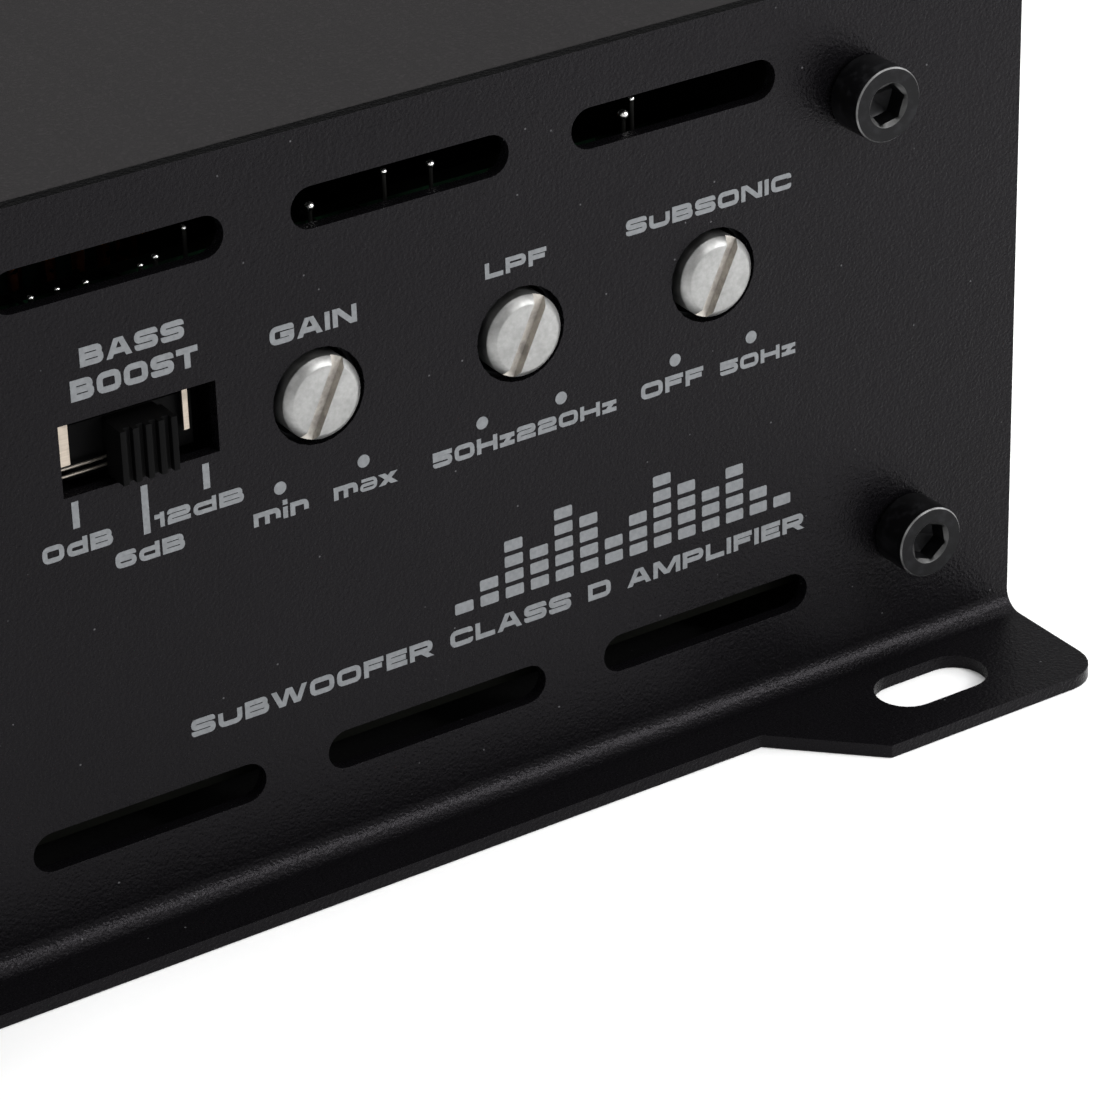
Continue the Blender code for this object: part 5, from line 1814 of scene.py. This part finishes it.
@dataclass(frozen=True)
class CircuitBoards:
    """The main board and the upright control board, with the small parts soldered to them."""

    chip_sizes: tuple[tuple[float, float, float], ...] = (
        (2.0 * MM, 1.25 * MM, 0.5 * MM),
        (3.2 * MM, 1.6 * MM, 0.55 * MM),
        (1.6 * MM, 0.8 * MM, 0.45 * MM),
    )
    driver: tuple[float, float, float] = (10.0 * MM, 3.9 * MM, 1.5 * MM)
    driver_places: tuple[Point, ...] = ((-28 * MM, -42 * MM), (30 * MM, -52 * MM), (46 * MM, 62 * MM))
    legs: int = 8
    leg: float = 0.17 * MM
    leg_pitch: float = 1.27 * MM
    leg_bend: tuple[Point, ...] = ((-0.1, 0.8), (0.4, 0.75), (0.6, 0.2), (1.1, 0.18))  # out and up, in mm
    chips: int = 90
    chip_body: float = 0.62  # of a chip's length
    chip_end: float = 0.17  # of a chip's length, one of its two tinned ends
    chip_end_place: float = 0.41
    chip_end_rise: float = 1.04
    seed: int = 12
    margin: float = 3.0 * MM
    clearance: float = 1.5 * MM
    on_board: tuple[str, ...] = (
        "power_transformer",
        "output_inductor",
        "capacitor_1",
        "capacitor_2",
        "transistor_left",
        "transistor_right",
        "control_board",
        "power_terminal_block",
        "speaker_terminal_block",
        "fuse_holder",
        "board_screw_1",
        "board_screw_2",
        "board_screw_3",
        "board_screw_4",
    )
    lead_reach: float = 1.4 * MM  # from the plate's inner face to the leads' tips
    lead: float = 0.16 * MM
    leads: tuple[tuple[float, float, float], ...] = (
        (-4.4 * MM, 7.7 * MM, 0.24 * MM),
        (-2.5 * MM, 7.6 * MM, 0.22 * MM),
        (-0.45 * MM, 7.7 * MM, 0.24 * MM),
        (3.5 * MM, 7.6 * MM, 0.2 * MM),
        (4.6 * MM, 7.3 * MM, 0.26 * MM),
        (6.8 * MM, 5.8 * MM, 0.22 * MM),
        (16.1 * MM, 6.8 * MM, 0.34 * MM),
        (21.8 * MM, 5.8 * MM, 0.24 * MM),
        (25.4 * MM, 6.2 * MM, 0.3 * MM),
        (40.8 * MM, 6.6 * MM, 0.4 * MM),
        (41.5 * MM, 5.6 * MM, 0.22 * MM),
    )  # place, drop from the plate's top and size of each tip

    def build(self) -> None:
        """Build both boards and their small parts."""
        self.board("main_board", Axis.Z)
        self.board("control_board", Axis.Y)
        self.joints()
        self.small_parts()

    def board(self, node: str, axis: Axis) -> None:
        """Build one board: solder mask on both faces, bare laminate round the edge, both darkened as painted
        shade.

        Args:
            node: the board's node.
            axis: the direction that its faces look along.
        """
        place = {Axis.Y: 1, Axis.Z: 2}[axis]

        def wears(face: bmesh.types.BMFace) -> int:
            """Return the mask's index on the two broad faces and the laminate's on the cut edges."""
            return 0 if abs(face.normal[place]) > 0.9 else 1

        Stock.from_node(node).paint(wears).piece(
            f"{node}_panel", [Finishes.MASK_SHADED, Finishes.LAMINATE_SHADED], Body.AMPLIFIER, "circuit_board", [node]
        )

    def joints(self) -> None:
        """Add the leads that reach from the control board up behind the vents of the control end: their wire
        painted near black as shade, their tips bright solder.
        """
        low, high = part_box("control_board")
        _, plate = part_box("front_plate")
        foot = Vector((0, (low.y + high.y) / 2, high.z + 0.2 * MM))
        leads = Stock()
        for x, drop, radius in self.leads:
            tip = Vector((x, plate.y + self.lead_reach, plate.z - drop))
            corner = Vector((x, tip.y, foot.z + 0.5 * MM))
            leads.wire([Vector((x, foot.y, foot.z)), corner, tip], self.lead)
            ball = arc(0, tip.z, radius, -90, 90, 8)
            profile = [(max(across, 0.0), up) for across, up in ball]
            leads.turned(profile, (x, tip.y), Axis.Z, 20, finish=1)
        leads.piece("control_board_leads", [Finishes.LEAD_SHADED, Finishes.SOLDER_DOT], Body.AMPLIFIER)

    def small_parts(self) -> None:
        """Solder the drivers and the chips onto the main board, clear of everything that stands on it."""
        low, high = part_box("main_board")
        top = high.z + 0.02 * MM
        taken = self.standing()
        self.drivers(top, taken)
        chips = Stock()
        draw = random.Random(self.seed)
        placed = 0
        while placed < self.chips:
            x = draw.uniform(low.x + self.margin, high.x - self.margin)
            y = draw.uniform(low.y + self.margin, high.y - self.margin)
            length, width, height = draw.choice(self.chip_sizes)
            along = draw.random() < 0.5
            across, up = (length, width) if along else (width, length)
            reach = self.clearance + length
            if any(x0 - reach < x < x1 + reach and y0 - reach < y < y1 + reach for x0, y0, x1, y1 in taken):
                continue
            taken.append((x - across / 2, y - up / 2, x + across / 2, y + up / 2))
            placed += 1
            body = (across * self.chip_body, up) if along else (across, up * self.chip_body)
            chips.prism(rectangle(x, y, *body), Axis.Z, top + 0.02 * MM, top + height)
            tinned = (across * self.chip_end, up) if along else (across, up * self.chip_end)
            for side in (-self.chip_end_place, self.chip_end_place):
                spot = (x + side * across, y) if along else (x, y + side * up)
                outline = rectangle(*spot, *tinned)
                chips.prism(outline, Axis.Z, top, top + height * self.chip_end_rise, finish=1)
        chips.piece("chip_resistors", [Finishes.PACKAGE, Finishes.SOLDER], Body.AMPLIFIER)

    def drivers(self, top: float, taken: list[tuple[float, float, float, float]]) -> None:
        """Solder the driver chips on, each with eight gull-wing legs on either side.

        Args:
            top: height of the board's upper face.
            taken: floor plans that are already used; each driver's is added.
        """
        drivers = Stock()
        long, wide, tall = self.driver
        for x, y in self.driver_places:
            drivers.prism(rectangle(x, y, long, wide, 0.2 * MM), Axis.Z, top + 0.1 * MM, top + tall)
            taken.append((x - long / 2, y - wide, x + long / 2, y + wide))
            for step in range(self.legs):
                leg = x + (step - (self.legs - 1) / 2) * self.leg_pitch
                for side in (-1, 1):
                    edge = y + side * wide / 2
                    bend = [(edge + side * out * MM, top + up * MM) for out, up in self.leg_bend]
                    drivers.wire([Vector((leg, *spot)) for spot in bend], self.leg, 6, finish=1)
        drivers.piece("driver_chips", [Finishes.PACKAGE, Finishes.SOLDER], Body.AMPLIFIER)

    def standing(self) -> list[tuple[float, float, float, float]]:
        """Return the floor plans of the parts that stand on the main board."""
        boxes = [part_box(node) for node in self.on_board]
        return [(corner.x, corner.y, far.x, far.y) for corner, far in boxes]


@dataclass(frozen=True)
class WoundRing:
    """A wound ring core: a coated core with single turns of enamelled wire round it."""

    node: str
    turns: int
    wire: float
    hole: float
    corner: float = 2.0 * MM

    def build(self) -> None:
        """Build the core and its winding."""
        low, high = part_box(self.node)
        centre = middle(self.node)
        outer = (high.x - low.x) / 2
        inner = self.hole / 2
        thick = 2 * self.wire
        ring, width, height = (inner + outer) / 2, outer - inner, high.z - low.z
        section = rectangle(ring, centre.z, width - 2 * thick, height - 2 * thick, self.corner)
        core = Stock().turned(section, (centre.x, centre.y), Axis.Z, 64, ring=True)
        core.piece(f"{self.node}_core", [Finishes.CORE], Body.AMPLIFIER)
        path = rectangle(ring, centre.z, width - 2 * self.wire, height - 2 * self.wire, self.corner)
        winding = Stock()
        for turn in range(self.turns):
            angle = 2 * math.pi * turn / self.turns
            ahead = Vector((math.cos(angle), math.sin(angle), 0))
            middle_line = Vector((centre.x, centre.y, 0))
            points = [middle_line + ahead * radius + Vector((0, 0, height)) for radius, height in path]
            winding.wire(points, self.wire, 6, loop=True)
        winding.piece(f"{self.node}_winding", [Finishes.MAGNET_WIRE], Body.AMPLIFIER, "winding", [self.node])


@dataclass(frozen=True)
class PowerParts:
    """The tall parts inside: wound rings, smoothing capacitors and the two power transistors."""

    capacitors: tuple[str, ...] = ("capacitor_1", "capacitor_2")
    rings: tuple[WoundRing, ...] = (
        WoundRing("power_transformer", 56, 0.45 * MM, 18.0 * MM),
        WoundRing("output_inductor", 34, 0.6 * MM, 14.0 * MM),
    )
    package_edge: float = 0.12 * MM
    foot: float = 0.4 * MM
    crimp: tuple[float, float, float] = (2.6 * MM, 3.1 * MM, 3.6 * MM)  # groove round the can, from its foot
    crimp_depth: float = 0.45 * MM
    roll: float = 1.1 * MM  # rolled upper edge of the sleeve
    crown: float = 0.3 * MM  # from the roll's highest point down to the can's top
    score: Point = (0.3 * MM, 0.45 * MM)  # width of the top's cross, and its depth from the roll
    stripe: float = 32.0  # half the angle that the polarity stripe covers, in degrees

    def build(self) -> None:
        """Build the rings, the capacitors and the transistors."""
        for ring in self.rings:
            ring.build()
        for node in self.capacitors:
            self.capacitor(node)
        for side in ("left", "right"):
            node = f"transistor_{side}"
            refined(node, f"{node}_package", Finishes.PACKAGE, "package", self.package_edge)

    def capacitor(self, node: str) -> None:
        """Build one capacitor: a can in a shrunk sleeve with a scored top.

        Args:
            node: the capacitor's node.
        """
        low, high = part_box(node)
        centre = middle(node)
        place = (centre.x, centre.y)
        radius = (high.x - low.x) / 2
        crimp = [low.z + rise for rise in self.crimp]
        sleeve = [
            (0, low.z),
            (radius - self.foot, low.z),
            (radius, low.z + self.foot),
            (radius, crimp[0]),
            (radius - self.crimp_depth, crimp[1]),
            (radius, crimp[2]),
            (radius, high.z - self.roll),
            (radius - 0.35 * MM, high.z - 0.35 * MM),
            (radius - self.roll, high.z - 0.12 * MM),
            (radius - self.roll - 0.8 * MM, high.z - self.crown),
            (0, high.z - self.crown),
        ]

        def wears(face: bmesh.types.BMFace) -> int:
            """Choose a face's finish.

            Args:
                face: the face.

            Returns:
                The top's, the stripe's or the sleeve's index.
            """
            spot = face.calc_center_median()
            if face.normal.z > 0.98 and spot.z > high.z - 0.5 * MM:
                return 2
            angle = math.degrees(math.atan2(spot.y - centre.y, spot.x - centre.x))
            return 1 if abs(angle) < self.stripe and abs(face.normal.z) < 0.3 else 0

        width, depth = self.score
        cross = []
        for across, up in ((radius * 1.1, width), (width, radius * 1.1)):
            bar = rectangle(*place, across, up)
            cross.append(Stock().prism(bar, Axis.Z, high.z - depth, high.z + MM, finish=2))
        finishes = [Finishes.SLEEVE, Finishes.SLEEVE_STRIPE, Finishes.ALUMINIUM]
        can = Stock().turned(sleeve, place, Axis.Z, 60).paint(wears)
        can.piece(f"{node}_can", finishes, Body.AMPLIFIER, "sleeve", [node], cutters=cross)


# ---------------------------------------------------------------- studio


@dataclass(frozen=True)
class SoftBox:
    """A rectangular studio light: where it stands, what it faces, its size and its power."""

    name: str
    place: tuple[float, float, float]
    size: Point
    power: float
    aim: tuple[float, float, float] = (0.02, -0.08, 0.03)

    def light(self) -> bpy.types.Object:
        """Set up the light.

        Returns:
            The light.
        """
        data = bpy.data.lights.new(self.name, "AREA")
        data.shape = "RECTANGLE"
        data.size, data.size_y = self.size
        data.energy = self.power
        lamp = bpy.data.objects.new(self.name, data)
        lamp.location = self.place
        direction = Vector(self.aim) - Vector(self.place)
        lamp.rotation_euler = direction.to_track_quat("-Z", "Y").to_euler()
        bpy.context.scene.collection.objects.link(lamp)
        return lamp


@dataclass(frozen=True)
class Studio:
    """The pale floor, the soft light and the camera."""

    floor_size: float = 6.0
    floor_gap: float = 0.05 * MM
    camera_place: tuple[float, float, float] = (-115.79 * MM, -331.74 * MM, 166.91 * MM)
    heading: float = -32.592  # degrees from +Y, anticlockwise seen from above
    tilt: float = 28.312  # degrees down
    roll: float = -1.679
    lens: float = 147.04
    film: float = 36.0
    near_clip: float = 0.01
    sky: float = 0.42
    boxes: tuple[SoftBox, ...] = (
        SoftBox("key_box", (0.40, -0.75, 0.80), (0.45, 0.35), 3.9),
        SoftBox("spark_box", (0.42, -0.93, 0.58), (0.10, 0.10), 2.1),
        SoftBox("fill_box", (-0.75, -0.55, 0.60), (0.6, 0.5), 0.9),
        SoftBox("near_box", (0.21, -0.27, 0.12), (0.12, 0.12), 0.30, (0.03, -0.10, 0.03)),
        SoftBox("top_box", (0.10, 0.10, 1.10), (0.9, 0.7), 9.6),
        SoftBox("rim_box", (0.90, -0.10, 0.45), (0.4, 0.6), 2.6),
        SoftBox("back_box", (-0.20, 1.00, 0.70), (0.8, 0.5), 1.5, (0.0, 0.08, 0.03)),
    )

    def build(self) -> None:
        """Set up the floor, the lights, the world and the camera."""
        self.floor()
        for box in self.boxes:
            box.light()
        self.world()
        self.camera()
        bpy.context.scene.view_settings.view_transform = "Standard"

    def floor(self) -> None:
        """Lay the floor just under the amplifier."""
        stock = Stock()
        outline = rectangle(0, 0, self.floor_size, self.floor_size)
        corners = [stock.bm.verts.new((x, y, 0)) for x, y in outline]
        stock.bm.faces.new(corners)
        floor = bpy.data.objects.new("floor", stock.mesh("floor"))
        low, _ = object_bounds()
        floor.location.z = low[2] - self.floor_gap
        floor.data.materials.append(Finishes.FLOOR.material())
        bpy.context.scene.collection.objects.link(floor)
        floor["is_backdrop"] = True

    def world(self) -> None:
        """Surround the studio with an even pale grey."""
        world = bpy.data.worlds.new("studio")
        world.use_nodes = True
        sky = world.node_tree.nodes["Background"]
        sky.inputs["Color"].default_value = (1.0, 1.0, 1.0, 1.0)
        sky.inputs["Strength"].default_value = self.sky
        bpy.context.scene.world = world

    def camera(self) -> None:
        """Put up the camera."""
        data = bpy.data.cameras.new("camera")
        data.lens = self.lens
        data.sensor_width = self.film
        data.clip_start = self.near_clip
        camera = bpy.data.objects.new("camera", data)
        turn = Matrix.Rotation(math.radians(self.heading), 4, "Z")
        dip = Matrix.Rotation(math.radians(90 - self.tilt), 4, "X")
        roll = Matrix.Rotation(math.radians(self.roll), 4, "Z")
        camera.matrix_world = Matrix.Translation(self.camera_place) @ turn @ dip @ roll
        bpy.context.scene.collection.objects.link(camera)
        bpy.context.scene.camera = camera


def main() -> None:
    """Load the frame, build every sub-assembly around it and set up the studio."""
    logging.basicConfig(level=logging.INFO, format="%(name)s: %(message)s")
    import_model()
    assemblies = (
        Case(),
        CapScrew(),
        SmallScrews(),
        Trimmers(),
        SlideSwitch(),
        ControlLegends(),
        SignalInputs(),
        TerminalEnd(),
        CircuitBoards(),
        PowerParts(),
        Studio(),
    )
    for assembly in assemblies:
        LOG.info("building %s", type(assembly).__name__)
        assembly.build()


if __name__ == "__main__":
    main()
